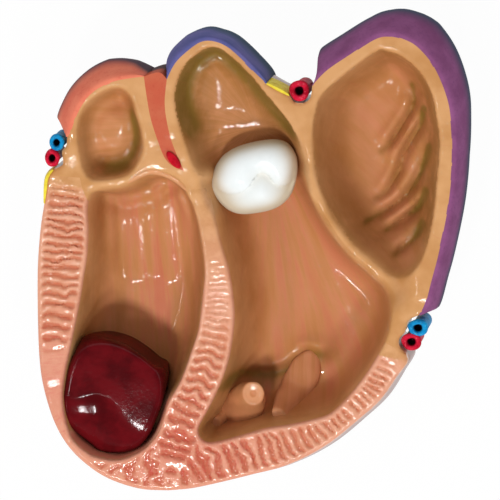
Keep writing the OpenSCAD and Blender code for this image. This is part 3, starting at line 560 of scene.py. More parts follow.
def build_height():
    """Height of every cell of the section."""
    p = CELLS
    high = cavities(p) + atrium_forms(p) + right_ventricle_forms(p)
    high += bowl_forms(p) + left_ventricle_forms(p)
    # Soft unevenness of the cast
    calm = 1 - 0.65 * np.maximum(floor_of("lv"), floor_of("rv"))
    high += calm * (0.16 * ripple(p[:, 0] / 4.3, p[:, 1] / 4.3, 5)
                    + 0.06 * ripple(p[:, 0] / 1.9, p[:, 1] / 1.9, 6))
    # Rounded outer edge where no skin covers it
    cut = np.clip(EDGE_ROUND - BARE_FAR, 0, EDGE_ROUND)
    return high - (EDGE_ROUND - np.sqrt(EDGE_ROUND ** 2 - cut ** 2))


HEIGHT = build_height()


def height(points):
    """Height of the section face at any points."""
    return sample(HEIGHT, np.asarray(points, float))


# ---------------------------------------------------------------- triangles of the section
def mouth_rows(ring, name):
    """Rows of points that run along a mouth on the steep wall and on the rim's rounding."""
    step = np.roll(ring, -1, axis=0) - np.roll(ring, 1, axis=0)
    into = np.stack([-step[:, 1], step[:, 0]], 1) / np.linalg.norm(step, axis=1)[:, None]
    rows = []
    for d in (0.18, 0.4, 0.66, 0.96, 1.3, 1.7, 2.2, 2.8, -0.3, -0.7):
        q = ring + into * d
        true = np.abs(sample(IN[name], q))
        rows.append(q[np.abs(true - abs(d)) < 0.12 + 0.1 * abs(d)])
    return rows


def edge_rows():
    """Rows of points along the outer edges, for their rounding."""
    rows = []
    for name in OUTER:
        out, _ = out_directions(name)
        for d in (0.08, 0.25, 0.5, 0.85, 1.2):
            q = LINES[name] - out * d
            far = nearest(q, EDGE_POINTS)[0]
            rows.append(q[far > 0.8 * d])
    return rows


def thin_out(points, room):
    """Keeps the first of the points that fall into one small square."""
    keys = np.floor(points / room).astype(np.int64)
    _, first = np.unique(keys[:, 0] * 100003 + keys[:, 1], return_index=True)
    return points[np.sort(first)]


def triangulate():
    """Points and triangles of the section, with its seams, mouths and strips as edges."""
    verts, edges = [], []

    def add(line, closed=False):
        start = len(verts)
        verts.extend(map(tuple, line))
        edges.extend((start + i, start + i + 1) for i in range(len(line) - 1))
        if closed:
            edges.append((start + len(line) - 1, start))

    for line in LINES.values():
        add(line)
    for ring in MOUTHS.values():
        add(ring, closed=True)
    for ring in STRIPS.values():
        add(ring, closed=True)
    fixed = np.array(verts)
    spaced = [r for name, ring in MOUTHS.items() for r in mouth_rows(ring, name)] + edge_rows()
    rows = thin_out(np.vstack(spaced), 0.16)
    rows = rows[nearest(rows, fixed)[0] > 0.07]
    hexes = []
    pitch = 0.72
    for j, y in enumerate(np.arange(-66, 66, pitch * 0.866)):
        x = np.arange(-60, 60, pitch) + (pitch / 2 if j % 2 else 0)
        hexes.append(np.stack([x, np.full(len(x), y)], 1))
    field = np.vstack(hexes)
    fine = np.vstack([field + shift for shift in
                      ((0, 0), (pitch / 2, 0.02), (pitch / 4, pitch * 0.433))])
    on_strip = np.zeros(len(fine), bool)
    for ring in STRIPS.values():
        on_strip |= inside(fine, ring)
    field = np.vstack([field, fine[on_strip]])
    used = np.vstack([fixed, rows])
    field = thin_out(field, 0.2)
    field = field[nearest(field, used)[0] > 0.3]
    points = [Vector(v) for v in np.vstack([used, field])]
    out = delaunay_2d_cdt(points, edges, [], 0, 1e-4)
    return np.array([tuple(v) for v in out[0]]), np.array(out[2])


PLAN, TRIS = triangulate()
area = np.cross(PLAN[TRIS[:, 1]] - PLAN[TRIS[:, 0]], PLAN[TRIS[:, 2]] - PLAN[TRIS[:, 0]])
TRIS = np.where((area < 0)[:, None], TRIS[:, ::-1], TRIS)
TOP = height(PLAN)


# ---------------------------------------------------------------- ribs of the strips
RUN, ACROSS, RIB, MEAT = (np.zeros(len(PLAN)) for _ in range(4))
RIBBED = np.zeros(len(PLAN), bool)


def add_ribs(name, edge, spacing, rise, wobble, strength, lean=0.0):
    """Cuts the grooves between a strip's ribs. Spacing and strength go by shares of its length."""
    here = inside(PLAN, STRIPS[name]) | (nearest(PLAN, STRIPS[name])[0] < ON_EDGE)
    p = PLAN[here]
    far, which = nearest(p, edge)
    share = which / (len(edge) - 1)
    steps = np.linalg.norm(np.diff(edge, axis=0), axis=1)
    pitch = np.interp(np.linspace(0, 1, len(steps)), *zip(*spacing))
    run = np.r_[0, np.cumsum(steps)][which]
    border = nearest(p, INNER[name])[0]
    if name != "septum_strip":
        border = np.minimum(border, far)
    others = [resample(ring, 0.3) for other, ring in STRIPS.items() if other != name]
    meeting = np.min([nearest(p, ring)[0] for ring in others], axis=0)
    shift = wobble * ripple(run / 4.5, far / 2.4, 11)
    shift += 0.3 * wobble * ripple(run / 1.9, far / 1.5, 12)
    phase = np.r_[0, np.cumsum(steps / pitch)][which] + lean * far + shift
    wave = 0.5 + 0.5 * np.cos(2 * math.pi * phase)
    rib = np.floor(phase + 0.5)
    crest = (1 - (1 - wave) ** 2.2) * (0.9 + 0.25 * ripple(rib * 1.7, far / 3.5, 13))
    strong = np.interp(share, *zip(*strength)) * ease((border - 0.5) / 1.5)
    strong *= 0.3 + 0.7 * ease(meeting / 1.5)
    # The crests tip towards the key lamp, so that each carries a thin highlight
    across_rib = (phase - rib) * np.append(pitch, pitch[-1])[which]
    northward = np.gradient(edge, axis=0)[which][:, 1] / np.append(steps, steps[-1])[which]
    tip = 0.14 * across_rib * northward * wave
    TOP[here] -= strong * (rise * (1 - crest) - tip) * ~RIBBED[here]
    RUN[here], ACROSS[here] = run, far
    RIB[here] = np.clip(1 - strong * (1 - crest), 0, 1)
    MEAT[here] = np.interp(share, *zip(*STRIP_MEAT[name]))
    RIBBED[here] = True


# How far each strip is painted as cut muscle, at shares of its length
STRIP_MEAT = {"left_wall_strip": [(0, 0.1), (0.1, 1)], "apex_strip": [(0, 1)],
              "septum_strip": [(0, 1), (0.62, 1), (0.8, 0.35), (0.95, 0)],
              "right_wall_strip": [(0, 1), (0.93, 1), (1, 0.1)]}
add_ribs("left_wall_strip", left_edge, [(0, 2.1), (0.35, 2.2), (0.6, 3.0), (1, 3.6)], 0.85, 0.3,
         [(0, 0), (0.07, 1), (0.7, 1), (0.78, 0.12), (1, 0.08)])
add_ribs("septum_strip", septum, [(0, 3.6), (0.35, 3.0), (0.5, 2.2), (0.62, 1.4), (1, 1.4)],
         0.85, 0.36,
         [(0, 0.5), (0.1, 1), (0.42, 1), (0.5, 0.55), (0.62, 0.28), (0.78, 0.1), (0.85, 0)])
add_ribs("right_wall_strip", lv_edge, [(0, 3.8), (0.3, 3.0), (0.6, 2.3), (1, 1.9)], 0.8, 0.32,
         [(0, 0.4), (0.08, 1), (0.88, 0.8), (0.97, 0)], lean=0.05)
add_ribs("apex_strip", rv_edge, [(0, 5.0)], 0.5, 0.6, [(0, 0.2), (1, 0.8)])
TOP = np.minimum(TOP, SECTION - 0.05)


# ---------------------------------------------------------------- turning forms into objects
def add_object(name, data):
    """A new object in the scene."""
    obj = bpy.data.objects.new(name, data)
    bpy.context.scene.collection.objects.link(obj)
    return obj


def level(points, z):
    """Places of the plan at height z, which is one height or one for each."""
    return np.column_stack([points, np.broadcast_to(z, len(points))])


def sighted(points, z):
    """Where points at height z must be for the camera to show them at the places given."""
    return level(points - LEAN * (SECTION - z)[:, None], z)


def loft(rings):
    """Quads between rings of equal length, with the two ends closed."""
    n = len(rings[0])
    faces = [[k * n + i, k * n + (i + 1) % n, (k + 1) * n + (i + 1) % n, (k + 1) * n + i]
             for k in range(len(rings) - 1) for i in range(n)]
    faces.append(list(range(n))[::-1])
    faces.append([(len(rings) - 1) * n + i for i in range(n)])
    return np.vstack(rings), faces


def wrapped(rows):
    """A closed layer on a wall, from rows along it that go up its inside and down its outside."""
    verts, faces = loft(list(np.array(rows).transpose(1, 0, 2)))
    return verts, [f[::-1] for f in faces]


def make(name, verts, faces, body, node, material, sharp=0):
    """A closed piece from points in mm. It rides on a body and stands for a CAD node."""
    mesh = bpy.data.meshes.new(name)
    mesh.from_pydata((np.asarray(verts) * MM).tolist(), [], [list(map(int, f)) for f in faces])
    mesh.validate()
    mesh.update()
    mesh.shade_smooth()
    if sharp:
        mesh.set_sharp_from_angle(angle=math.radians(sharp))
    obj = add_object(name, mesh)
    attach(obj, body)
    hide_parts(node)
    mesh.materials.append(material)
    return obj


def give(obj, name, values):
    """Stores one number for each point of a piece, for its material to read."""
    layer = obj.data.attributes.new(name, "FLOAT", "POINT")
    layer.data.foreach_set("value", np.asarray(values, np.float32))


def rim_loop(tris):
    """The single loop of points round a patch of triangles, in order."""
    edges = np.vstack([tris[:, [0, 1]], tris[:, [1, 2]], tris[:, [2, 0]]])
    back = set(map(tuple, edges[:, ::-1].tolist()))
    nxt = {a: b for a, b in edges.tolist() if (a, b) not in back}
    start = next(iter(nxt))
    loop = [start]
    while nxt[loop[-1]] != start:
        loop.append(nxt[loop[-1]])
        if len(loop) > len(nxt):
            raise RuntimeError("open patch")
    assert len(loop) == len(nxt), (len(loop), len(nxt))
    return np.array(loop)


def block(tris, top, levels):
    """A closed solid under a patch of the plan: its top, its sides at each level and its base."""
    used, where = np.unique(tris, return_inverse=True)
    tris = where.reshape(tris.shape)
    plan = PLAN[used]
    verts = [level(wall_xy(plan, SECTION), top[used])]
    faces = tris.tolist()
    loop = rim_loop(tris)
    source = [used]
    above = loop
    count = len(used)
    drop = 0.0
    for z in levels:
        xy = wall_xy(plan[loop], z)
        drop += LEVEL_GAP
        verts.append(level(xy, np.minimum(z, top[used][loop] - drop)))
        below = np.arange(count, count + len(loop))
        count += len(loop)
        faces += [[above[i], below[i], below[(i + 1) % len(loop)], above[(i + 1) % len(loop)]]
                  for i in range(len(loop))]
        source.append(used[loop])
        above = below
    faces.append(above[::-1].tolist())
    return np.vstack(verts), faces, np.concatenate(source), len(used)


WALL_LEVELS = [41.2, 40, 38.9, 36, 33, 30, 27, 24, 21, 18, 15, 12, 9, 6.5, 4, 2, 0]
STRIP_LEVELS = [41.2, 40, STRIP_FOOT]
LEVEL_GAP = 0.04                                       # least distance between two levels


# ---------------------------------------------------------------- paint
def rgb(r, g, b):
    """A colour as it looks in a picture, 0 to 255, as light values."""
    return tuple(((c / 255) / 12.92 if c <= 10 else (((c / 255) + 0.055) / 1.055) ** 2.4)
                 for c in (r, g, b)) + (1.0,)


class Paint:
    """A node material that is built up step by step."""

    def __init__(self, name):
        self.material = bpy.data.materials.new(name)
        self.material.use_nodes = True
        self.tree = self.material.node_tree
        self.shader = self.tree.nodes["Principled BSDF"]
        self.where = self.node("ShaderNodeTexCoord").outputs["Object"]

    def node(self, kind, **settings):
        n = self.tree.nodes.new(kind)
        for key, value in settings.items():
            setattr(n, key, value)
        return n

    def plug(self, socket, value):
        if isinstance(value, bpy.types.NodeSocket):
            self.tree.links.new(value, socket)
        else:
            socket.default_value = value

    def stored(self, name):
        return self.node("ShaderNodeAttribute", attribute_name=name).outputs["Fac"]

    def maths(self, how, a, b=0.0):
        n = self.node("ShaderNodeMath", operation=how)
        self.plug(n.inputs[0], a)
        self.plug(n.inputs[1], b)
        return n.outputs[0]

    def span(self, value, low, high):
        """0 below low, 1 above high, soft between."""
        n = self.node("ShaderNodeMapRange", interpolation_type="SMOOTHSTEP")
        self.plug(n.inputs["Value"], value)
        n.inputs["From Min"].default_value = low
        n.inputs["From Max"].default_value = high
        return n.outputs[0]

    def noise(self, size, detail=3.0, vector=None, rough=0.55):
        """Noise of about the given size in mm."""
        n = self.node("ShaderNodeTexNoise")
        self.plug(n.inputs["Vector"], vector or self.where)
        n.inputs["Scale"].default_value = 1 / (size * MM) if vector is None else 1 / size
        n.inputs["Detail"].default_value = detail
        n.inputs["Roughness"].default_value = rough
        return n.outputs["Fac"]

    def pair(self, x, y):
        n = self.node("ShaderNodeCombineXYZ")
        self.plug(n.inputs[0], x)
        self.plug(n.inputs[1], y)
        return n.outputs[0]

    def mix(self, share, a, b):
        n = self.node("ShaderNodeMix", data_type="RGBA")
        self.plug(n.inputs[0], share)
        self.plug(n.inputs[6], a)
        self.plug(n.inputs[7], b)
        return n.outputs[2]

    def over(self, colour, paint, mask, share):
        """The colour with a paint laid over it, as thickly as mask times share says."""
        return self.mix(self.maths("MULTIPLY", mask, share), colour, paint)

    def fibres(self, first, first_size, second, second_size, detail):
        """Noise over two stored places, drawn out by a size in mm along each."""
        x = self.maths("DIVIDE", self.stored(first), first_size)
        y = self.maths("DIVIDE", self.stored(second), second_size)
        return self.noise(1.0, detail, self.pair(x, y))

    def up(self):
        """Height in mm."""
        n = self.node("ShaderNodeSeparateXYZ")
        self.plug(n.inputs[0], self.where)
        return self.maths("MULTIPLY", n.outputs[2], 1 / MM)

    def finish(self, colour, rough=0.34, grain=0.6, depth=0.05, coat=0.32, specular=0.06,
               gloss=0.055):
        """Varnished paint. Its relief is fine unevenness of a size and depth in mm."""
        s = self.shader
        self.plug(s.inputs["Base Color"], colour)
        s.inputs["Roughness"].default_value = rough
        s.inputs["Coat Weight"].default_value = coat
        s.inputs["Coat Roughness"].default_value = gloss
        s.inputs["Specular IOR Level"].default_value = specular
        fine = self.node("ShaderNodeBump")
        fine.inputs["Strength"].default_value = 0.8
        fine.inputs["Distance"].default_value = depth * MM
        self.plug(fine.inputs["Height"], self.noise(grain, 4))
        self.plug(s.inputs["Normal"], fine.outputs[0])
        self.plug(s.inputs["Coat Normal"], fine.outputs[0])
        return self.material


TAN, TAN_DARK = rgb(212, 158, 106), rgb(194, 138, 84)
FLOOR, FLOOR_PALE = rgb(194, 132, 82), rgb(206, 142, 98)
PINK, PINK_PALE = rgb(222, 132, 106), rgb(222, 158, 130)
ROSE, RED_STREAK = rgb(200, 116, 86), rgb(200, 92, 78)
# Olive browns for the hollows: partly the cast's own paint and partly painted shade
DEEP, OLIVE, UMBER = rgb(142, 98, 40), rgb(128, 104, 46), rgb(108, 66, 26)
RIB_PALE, RIB_PINK = rgb(210, 148, 116), rgb(203, 131, 97)
RIB_GROOVE, RIB_CREST = rgb(198, 116, 84), rgb(232, 170, 142)
FIBRE_RED, APEX_ROSE, APEX_RED = rgb(206, 104, 84), rgb(190, 96, 76), rgb(190, 72, 58)
# Greyish colours down the bare outer walls: partly the outer wall's own paint and partly painted
# shade
CAST_FLANK_AND_SHADE, MUSCLE_FLANK_AND_SHADE = rgb(150, 108, 96), rgb(176, 116, 104)


def cast_paint(name):
    """Chamber walls: tan rim, rosy brown floor with fibre streaks, olive brown in the hollows that
    is partly paint and partly painted shade, greyish down the outer wall as partly painted shade.
    """
    m = Paint(name)
    hollow = m.stored("hollow")
    streak = m.fibres("across", 2.4, "along", 26, 4)
    fine = m.fibres("across", 0.5, "along", 9, 3)
    cloud = m.noise(11, 3)
    rim = m.mix(m.span(cloud, 0.35, 0.7), TAN, TAN_DARK)
    ground = m.mix(m.span(streak, 0.35, 0.65), FLOOR, FLOOR_PALE)
    blush = m.maths("MULTIPLY", m.stored("blush"), m.span(streak, 0.42, 0.66))
    ground = m.over(ground, ROSE, blush, 0.8)
    colour = m.mix(m.stored("depth"), rim, ground)
    colour = m.mix(m.stored("meat"), colour, m.mix(m.span(cloud, 0.4, 0.6), PINK, PINK_PALE))
    # Olive brown and umber specks over the hollows: partly the paint's own tone and partly painted
    # shade
    colour = m.over(colour, DEEP, hollow, m.span(m.noise(5, 3), 0.1, 0.6))
    colour = m.over(colour, OLIVE, m.span(hollow, 0.55, 1.0), 0.75)
    dark = m.maths("MULTIPLY", hollow, m.span(fine, 0.55, 0.75))
    colour = m.over(colour, UMBER, dark, 0.14)
    colour = m.over(colour, RED_STREAK, m.span(fine, 0.56, 0.72), 0.1)
    # Down the outer wall the colour turns greyish: partly the wall's paint and partly painted shade
    outer = m.span(m.up(), SECTION - 2.0, SECTION - 6.0)
    colour = m.over(colour, CAST_FLANK_AND_SHADE, m.stored("shaded_flank"), outer)
    return m.finish(colour, rough=0.36, grain=1.1, depth=0.06)


def muscle_paint(name):
    """Ribbed cut muscle: pink ribs with pale crests, deeper grooves, red towards the apex and at the
    lower left, there partly painted shade, and greyish down the outer wall, partly painted shade.
    """
    m = Paint(name)
    fibre = m.fibres("along", 0.45, "across", 3.2, 4)
    blotch = m.noise(4.5, 3)
    blush, rib = m.stored("blush"), m.stored("rib")
    base = m.mix(m.span(blotch, 0.35, 0.65), RIB_PALE, RIB_PINK)
    colour = m.mix(m.span(rib, 0.8, 0.1), base, RIB_GROOVE)
    colour = m.over(colour, FIBRE_RED, m.span(fibre, 0.52, 0.72), 0.28)
    # Towards the apex the strips are red; at their lower left side the red is partly painted shade
    # beside the clot
    colour = m.over(colour, APEX_ROSE, blush, 0.7)
    colour = m.over(colour, APEX_RED, blush, m.span(fibre, 0.42, 0.66))
    colour = m.over(colour, RIB_CREST, m.span(rib, 0.55, 1.0), 0.5)
    colour = m.mix(m.stored("meat"), m.mix(m.span(blotch, 0.35, 0.7), TAN, TAN_DARK), colour)
    # Down the outer wall the colour turns greyish: partly the wall's paint and partly painted shade
    outer = m.span(m.up(), SECTION - 0.6, SECTION - 2.4)
    colour = m.over(colour, MUSCLE_FLANK_AND_SHADE, m.stored("shaded_flank"), outer)
    return m.finish(colour, rough=0.3, grain=0.9, depth=0.06, coat=0.6, gloss=0.09)


def skin_paint(name, face, dark, shaded_flank, streak, start, end):
    """A painted skin: its own colour on the section, and a darker greyish one down the outside,
    which is painted shade and painted dark reflection on the steep outer wall.
    """
    m = Paint(name)
    cloud = m.noise(7, 4)
    fine = m.noise(0.9, 4)
    colour = m.mix(m.span(cloud, 0.3, 0.7), face, dark)
    colour = m.over(colour, streak, m.span(fine, 0.5, 0.75), 0.3)
    # Down the outside the colour goes over to the darker flank colour: painted shade and painted
    # dark reflection
    colour = m.mix(m.span(m.up(), SECTION - start, SECTION - end), colour, shaded_flank)
    return m.finish(colour, rough=0.38, grain=1.4, depth=0.05, coat=0.05, specular=0.0)


def plain_paint(name, face, dark, size=2.5, rough=0.3, speck=None, depth=0.04, lumen=None,
                low=None, coat=0.12, gloss=0.055):
    """One colour with soft blotches, and if given specks, a lumen in painted shade, and the valve's
    lower sides in painted shade and painted warm reflection.
    """
    m = Paint(name)
    colour = m.mix(m.span(m.noise(size, 4), 0.35, 0.7), face, dark)
    if speck:
        colour = m.over(colour, speck, m.span(m.noise(0.6, 3), 0.55, 0.7), 0.5)
    # Inside the lumen the colour turns nearly black: painted shade in the hole
    if lumen:
        colour = m.mix(m.stored("lumen"), colour, lumen)
    # Lower down the valve turns a warmer, darker tan: painted shade and painted warm reflection
    if low:
        colour = m.mix(m.span(m.up(), VALVE_HIGH[2] - 1.0, VALVE_HIGH[2] - 4.8), colour, low)
    return m.finish(colour, rough=rough, grain=1.0, depth=depth, coat=coat, specular=0.0,
                    gloss=gloss)


CAST = cast_paint("cast_paint")
MUSCLE = muscle_paint("cut_muscle_paint")
# The third colour of each skin is its flank colour: painted shade and painted dark reflection on the
# outer wall
SEPTUM = skin_paint("septum_paint", rgb(196, 104, 76), rgb(194, 92, 68), rgb(84, 62, 64),
                    rgb(180, 74, 58), 5, 13)
CORAL = skin_paint("coral_paint", rgb(234, 133, 105), rgb(225, 116, 92), rgb(88, 66, 76),
                   rgb(206, 84, 72), 4, 13)
BLUE = skin_paint("blue_paint", rgb(106, 102, 158), rgb(88, 92, 146), rgb(58, 78, 98),
                  rgb(84, 78, 140), 6, 20)
PURPLE = skin_paint("purple_paint", rgb(147, 88, 133), rgb(129, 74, 115), rgb(66, 74, 94),
                    rgb(104, 58, 104), 5, 13)
RED = plain_paint("node_red_paint", rgb(196, 24, 40), rgb(158, 14, 30))
# The lumen colours of the vessels are painted shade in their holes
VEIN = plain_paint("vein_blue_paint", rgb(24, 150, 208), rgb(18, 112, 170), speck=rgb(90, 190, 226),
                   lumen=rgb(16, 14, 34))
ARTERY = plain_paint("artery_red_paint", rgb(214, 30, 60), rgb(160, 12, 34), speck=rgb(236, 96, 110),
                     lumen=rgb(46, 6, 16))
FAT = plain_paint("fat_yellow_paint", rgb(238, 218, 72), rgb(214, 184, 50), speck=rgb(246, 236, 130))
MAROON = plain_paint("clot_maroon_paint", rgb(98, 12, 19), rgb(72, 7, 12), size=6, rough=0.26,
                     coat=0.34, gloss=0.11)
# The valve's low colour is painted shade and painted warm reflection on its lower sides
WHITE = plain_paint("valve_white_paint", rgb(236, 241, 241), rgb(228, 234, 234), size=8, rough=0.3,
                    depth=0.01, low=rgb(206, 194, 170), coat=0.25)

# ---------------------------------------------------------------- painted zones of the section
far_pocket, far_rv, far_la, far_joined = (
    sample(IN[n], PLAN) for n in ("pocket", "rv", "la", "joined"))
FAR_IN = np.maximum.reduce([far_pocket, far_rv, far_la, far_joined])
LV_TOP, BOWL_LOW = 22, 26                              # y, in the joined cavity
in_rv, in_la, in_lv = far_rv > 0, far_la > 0, (far_joined > 0) & (PLAN[:, 1] < LV_TOP)
turn_at, reach_at = fan(PLAN)
GRAIN_ACROSS = np.where(in_rv, rv_across(PLAN),
                        np.where(in_la, (PLAN[:, 0] + PLAN[:, 1]) * 0.32, turn_at * 42))
GRAIN_ALONG = np.where(in_rv, PLAN[:, 1],
                       np.where(in_la, (PLAN[:, 1] - PLAN[:, 0]) / 1.414, reach_at))
falls_right = np.clip(-np.gradient(HEIGHT.reshape(GX.shape), CELL, axis=0), -3, 3)
LEFT_WALL = np.clip(sample(falls_right.ravel(), PLAN), 0, 3) / 3   # 1 on a steep left wall
# Steep left walls keep more of the rim's tan: painted light that offsets the shade they lie in
DEPTH_PAINT = ease((FAR_IN - 0.1) / 2.2) * (1 - 0.8 * LEFT_WALL)
SCOOP = in_rv * clot_scoop(PLAN, -0.3)


def hollow_zones():
    """How olive brown each point is painted, partly the cast's own paint and partly painted shade:
    by the walls, in the bowl, channel, recess and atrium's grooves.
    """
    p = PLAN
    low_la = ease((LA_PALE - p[:, 1]) / 5)
    # In the atrium the olive is lighter on steep left walls and at the low end, painted light
    # against their shade; by other walls left walls get a little more, painted shade
    in_atrium = (0.62 - 0.5 * low_la) * ease((10.5 - FAR_IN) / 8) * (1 - 0.6 * LEFT_WALL)
    by_wall = ease(FAR_IN / 1.5) * ease((5.5 - FAR_IN) / 4.5) * (0.34 + 0.06 * LEFT_WALL)
    out = np.where(in_la, in_atrium, by_wall * 0.8)
    to_right = ease((p[:, 0] + 0.5 * (30 - p[:, 1]) + 40) / 6)
    channel = bump(from_mound(p) - 1.25, 0.35) * to_right * (far_pocket > 0.5)
    out = np.clip(out + 0.8 * channel, 0, 1) * (1 - SCOOP)
    # The recess and the atrium's grooves get more olive: partly paint and partly painted shade
    recess = bump(above_line(p, LIP) + 2.4, 2.6) * bump(along_line(p, RECESS_LINE)[0], 5)
    out = np.clip(out + 0.95 * recess * in_lv, 0, 1)
    for groove in LA_GROOVES:
        out = np.clip(out + 0.6 * in_la * bump(along_line(p, groove)[0], 1.0), 0, 1)
    in_bowl = ease((p[:, 1] - BOWL_LOW) / 8) * (far_joined > 0)
    return np.clip(out + in_bowl * (0.28 + 0.55 * ease((10 - FAR_IN) / 9)), 0, 1)


OLIVE_AND_SHADE = hollow_zones()
BLUSH = np.where(in_rv, 0.85 * bump(PLAN[:, 0] - RV_ROSE, 9) + 0.25, 0)
BLUSH = np.where(in_lv, 0.75, BLUSH)
BLUSH = np.where(in_la, 0.3 * ease((PLAN[:, 0] - 22) / 10), BLUSH)
BLUSH *= ease((FAR_IN - 1) / 4)
# The strips are redder towards the apex and at their lower left side; beside the clot that red is
# partly painted shade
APEX, LEFT_SIDE = seen((170, 460), (52, 395))
STRIP_RED_AND_SHADE = np.maximum(0.9 * bump(np.linalg.norm((PLAN - APEX) / [1.6, 1], axis=1), 18),
                         bump(np.linalg.norm(PLAN - LEFT_SIDE, axis=1), 16))
OUTER_FAR = nearest(PLAN, EDGE_POINTS)[0]


def dress(obj, source, tops, in_strip=False):
    """Stores a section piece's painted zones on its points."""
    side = np.arange(len(source)) >= tops
    give(obj, "across", ACROSS[source] if in_strip else GRAIN_ACROSS[source])
    give(obj, "along", RUN[source] if in_strip else GRAIN_ALONG[source])
    give(obj, "depth", DEPTH_PAINT[source])
    give(obj, "hollow", np.where(side, 0, OLIVE_AND_SHADE[source]))
    give(obj, "blush", STRIP_RED_AND_SHADE[source] if in_strip else BLUSH[source])
    give(obj, "shaded_flank", side & (OUTER_FAR[source] < 0.05))
    give(obj, "rib", RIB[source])
    give(obj, "meat", (MEAT if in_strip else SCOOP)[source])


# ---------------------------------------------------------------- pieces of the section
MIDS = PLAN[TRIS].mean(1)
strip_of = {name: inside(MIDS, ring) for name, ring in STRIPS.items()}
on_any_strip = np.any(list(strip_of.values()), axis=0)
for name, ring in WALLS.items():
    mine = inside(MIDS, ring)
    top = TOP.copy()
    if mine[on_any_strip].any():
        bare = np.unique(TRIS[mine & ~on_any_strip])
        hidden = np.setdiff1d(np.unique(TRIS[mine & on_any_strip]), bare)
        top[hidden] = STRIP_FOOT - 0.03
    verts, faces, source, tops = block(TRIS[mine], top, WALL_LEVELS)
    paint = SEPTUM if name == "atrial_septum" else CAST
    obj = make(name.replace("wall", "cast") + "_form", verts, faces, "root", name, paint, 60)
    dress(obj, source, tops)
for name in STRIPS:
    verts, faces, source, tops = block(TRIS[strip_of[name]], TOP, STRIP_LEVELS)
    obj = make(name + "_form", verts, faces, "root", name, MUSCLE, 60)
    dress(obj, source, tops, True)

# ---------------------------------------------------------------- skins
SKIN_EDGE, SKIN_FOOT, SKIN_RISE = 1.2, 3.96, 1.6
SKIN_HEIGHTS = [3.96, 6, 9, 12, 15, 18, 21, 24, 27, 30, 32.5, 35, 37, 38.5, 39.7, 40.6, 41.3,
                41.7, 41.93]


def skin(name, line, swell, fullness, paint):
    """A coloured skin outside an edge, thin at its ends, as the solids have it."""
    path = LINES[line]
    out, share = out_directions(line)
    full = np.interp(share, *zip(*fullness))
    length = len(path) * 0.5
    from_end = np.clip(np.minimum(share, 1 - share) * length / 5.5, 0.01, 1)
    ends = 0.15 + 0.85 * np.sqrt(1 - (1 - from_end) ** 2)
    rings = []
    for z in SKIN_HEIGHTS:
        rings.append(level(wall_xy(path, z) - out * 0.15, z))
    for z in SKIN_HEIGHTS[::-1]:
        up = ((z - SKIN_FOOT) / (SECTION - SKIN_FOOT)) ** SKIN_RISE
        thick = (SKIN_EDGE + swell * full * max(math.sin(math.pi * up), 0) ** 0.95) * ends
        crown = math.sqrt(max(0, 1 - (max(z - 40.6, 0) / 1.5) ** 2))
        thick = thick * (0.35 + 0.65 * crown)
        at = path * narrow(z) + out * thick[:, None]
        rings.append(level(at, z))
    verts, faces = wrapped(rings)
    return make(name + "_form", verts, faces, "root", name, paint, 55)


skin("coral_skin", "coral", 4.5, [(0, 0), (0.1, 0.45), (0.3, 0.9), (0.8, 1), (1, 0.9)], CORAL)
skin("blue_skin", "blue", 2.0, [(0, 0), (0.5, 0), (0.75, 1), (0.95, 1), (1, 0.3)], BLUE)
skin("purple_skin", "purple", 5.6, [(0, 0), (0.05, 0.4), (0.33, 0.43), (0.45, 0.65), (0.6, 1),
                                    (0.7, 0.9), (0.8, 0.68), (0.93, 0.74), (1, 0.1)], PURPLE)


# ---------------------------------------------------------------- loose pieces
# The clot's flat top: beyond its edge the sides slope down, gently at the lower side
PLATEAU = seen((58, 388), (70, 366), (88, 352), (110, 350), (132, 358), (148, 368), (157, 382),
               (159, 400), (156, 417), (148, 428), (136, 424), (124, 412), (110, 400), (94, 396),
               (76, 400), (62, 398))


def clot():
    """The clot: a flattened dome with a soft edge line, rounded sides and a lobed lower edge."""
    outline = CLOT_RING
    centre = outline.mean(0)
    plateau = smooth(PLATEAU, closed=True)
    gap, edge_drop, lowest_edge, lowest_foot, undercut = 0.4, 2.0, 25, 14, 0.93

    def crown(p):
        out = np.clip(-within(p, plateau), 0, None)
        lower = ease((centre[1] + 2 - p[:, 1]) / 8)
        steep, soft = 1.7 - 1.25 * lower, 1.8 + 5.2 * lower
        fall = steep * (np.sqrt(out ** 2 + soft ** 2) - soft)
        far = np.linalg.norm(p - centre, axis=1)
        uneven = 0.05 * ripple(p[:, 0] / 5, p[:, 1] / 5, 21)
        return SECTION - 1.1 - fall - 0.0016 * far ** 2 + uneven

    edge_z = np.maximum(crown(outline) - edge_drop, lowest_edge)
    lid = edge_z - 1.0
    edge = sighted(outline, edge_z)[:, :2]
    middle = edge.mean(0)
    rings = []
    for f in (0.05, 0.2, 0.4, 0.6, 0.75, 0.87, undercut):
        p = middle + (edge - middle) * f
        rings.append(level(p, np.minimum(height(p) + gap, lid)))
    foot = np.clip(height(middle + (edge - middle) * undercut) + gap, lowest_foot, lid)
    for t in (0.25, 0.5, 0.75, 0.9, 1.0):
        p = middle + (edge - middle) * (undercut + (1 - undercut) * t ** 0.6)
        rings.append(level(p, foot * (1 - t) + edge_z * t))
    for f in np.r_[0.995, 0.988, 0.978, 0.966, 0.95, 0.935, np.linspace(0.915, 0.04, 30)]:
        p = centre + (outline - centre) * f
        tops = crown(p) - edge_drop * math.exp(-((1 - f) / 0.03))
        rings.append(sighted(p, np.maximum(tops, lowest_edge)))
    verts, faces = loft(rings)
    verts[:, 2] = np.clip(verts[:, 2], CLOT_LOW[2], CLOT_HIGH[2])
    return make("clot_form", verts, faces, "clot", "clot", MAROON, 0)


CREASE = seen((302, 156), (298, 170), (292, 180), (283, 185), (275, 183), (268, 175), (261, 172),
              (255, 177), (249, 186), (241, 192), (230, 194), (219, 190), (210, 182))
NOTCH = seen((262, 176))[0]                            # where the crease is deepest


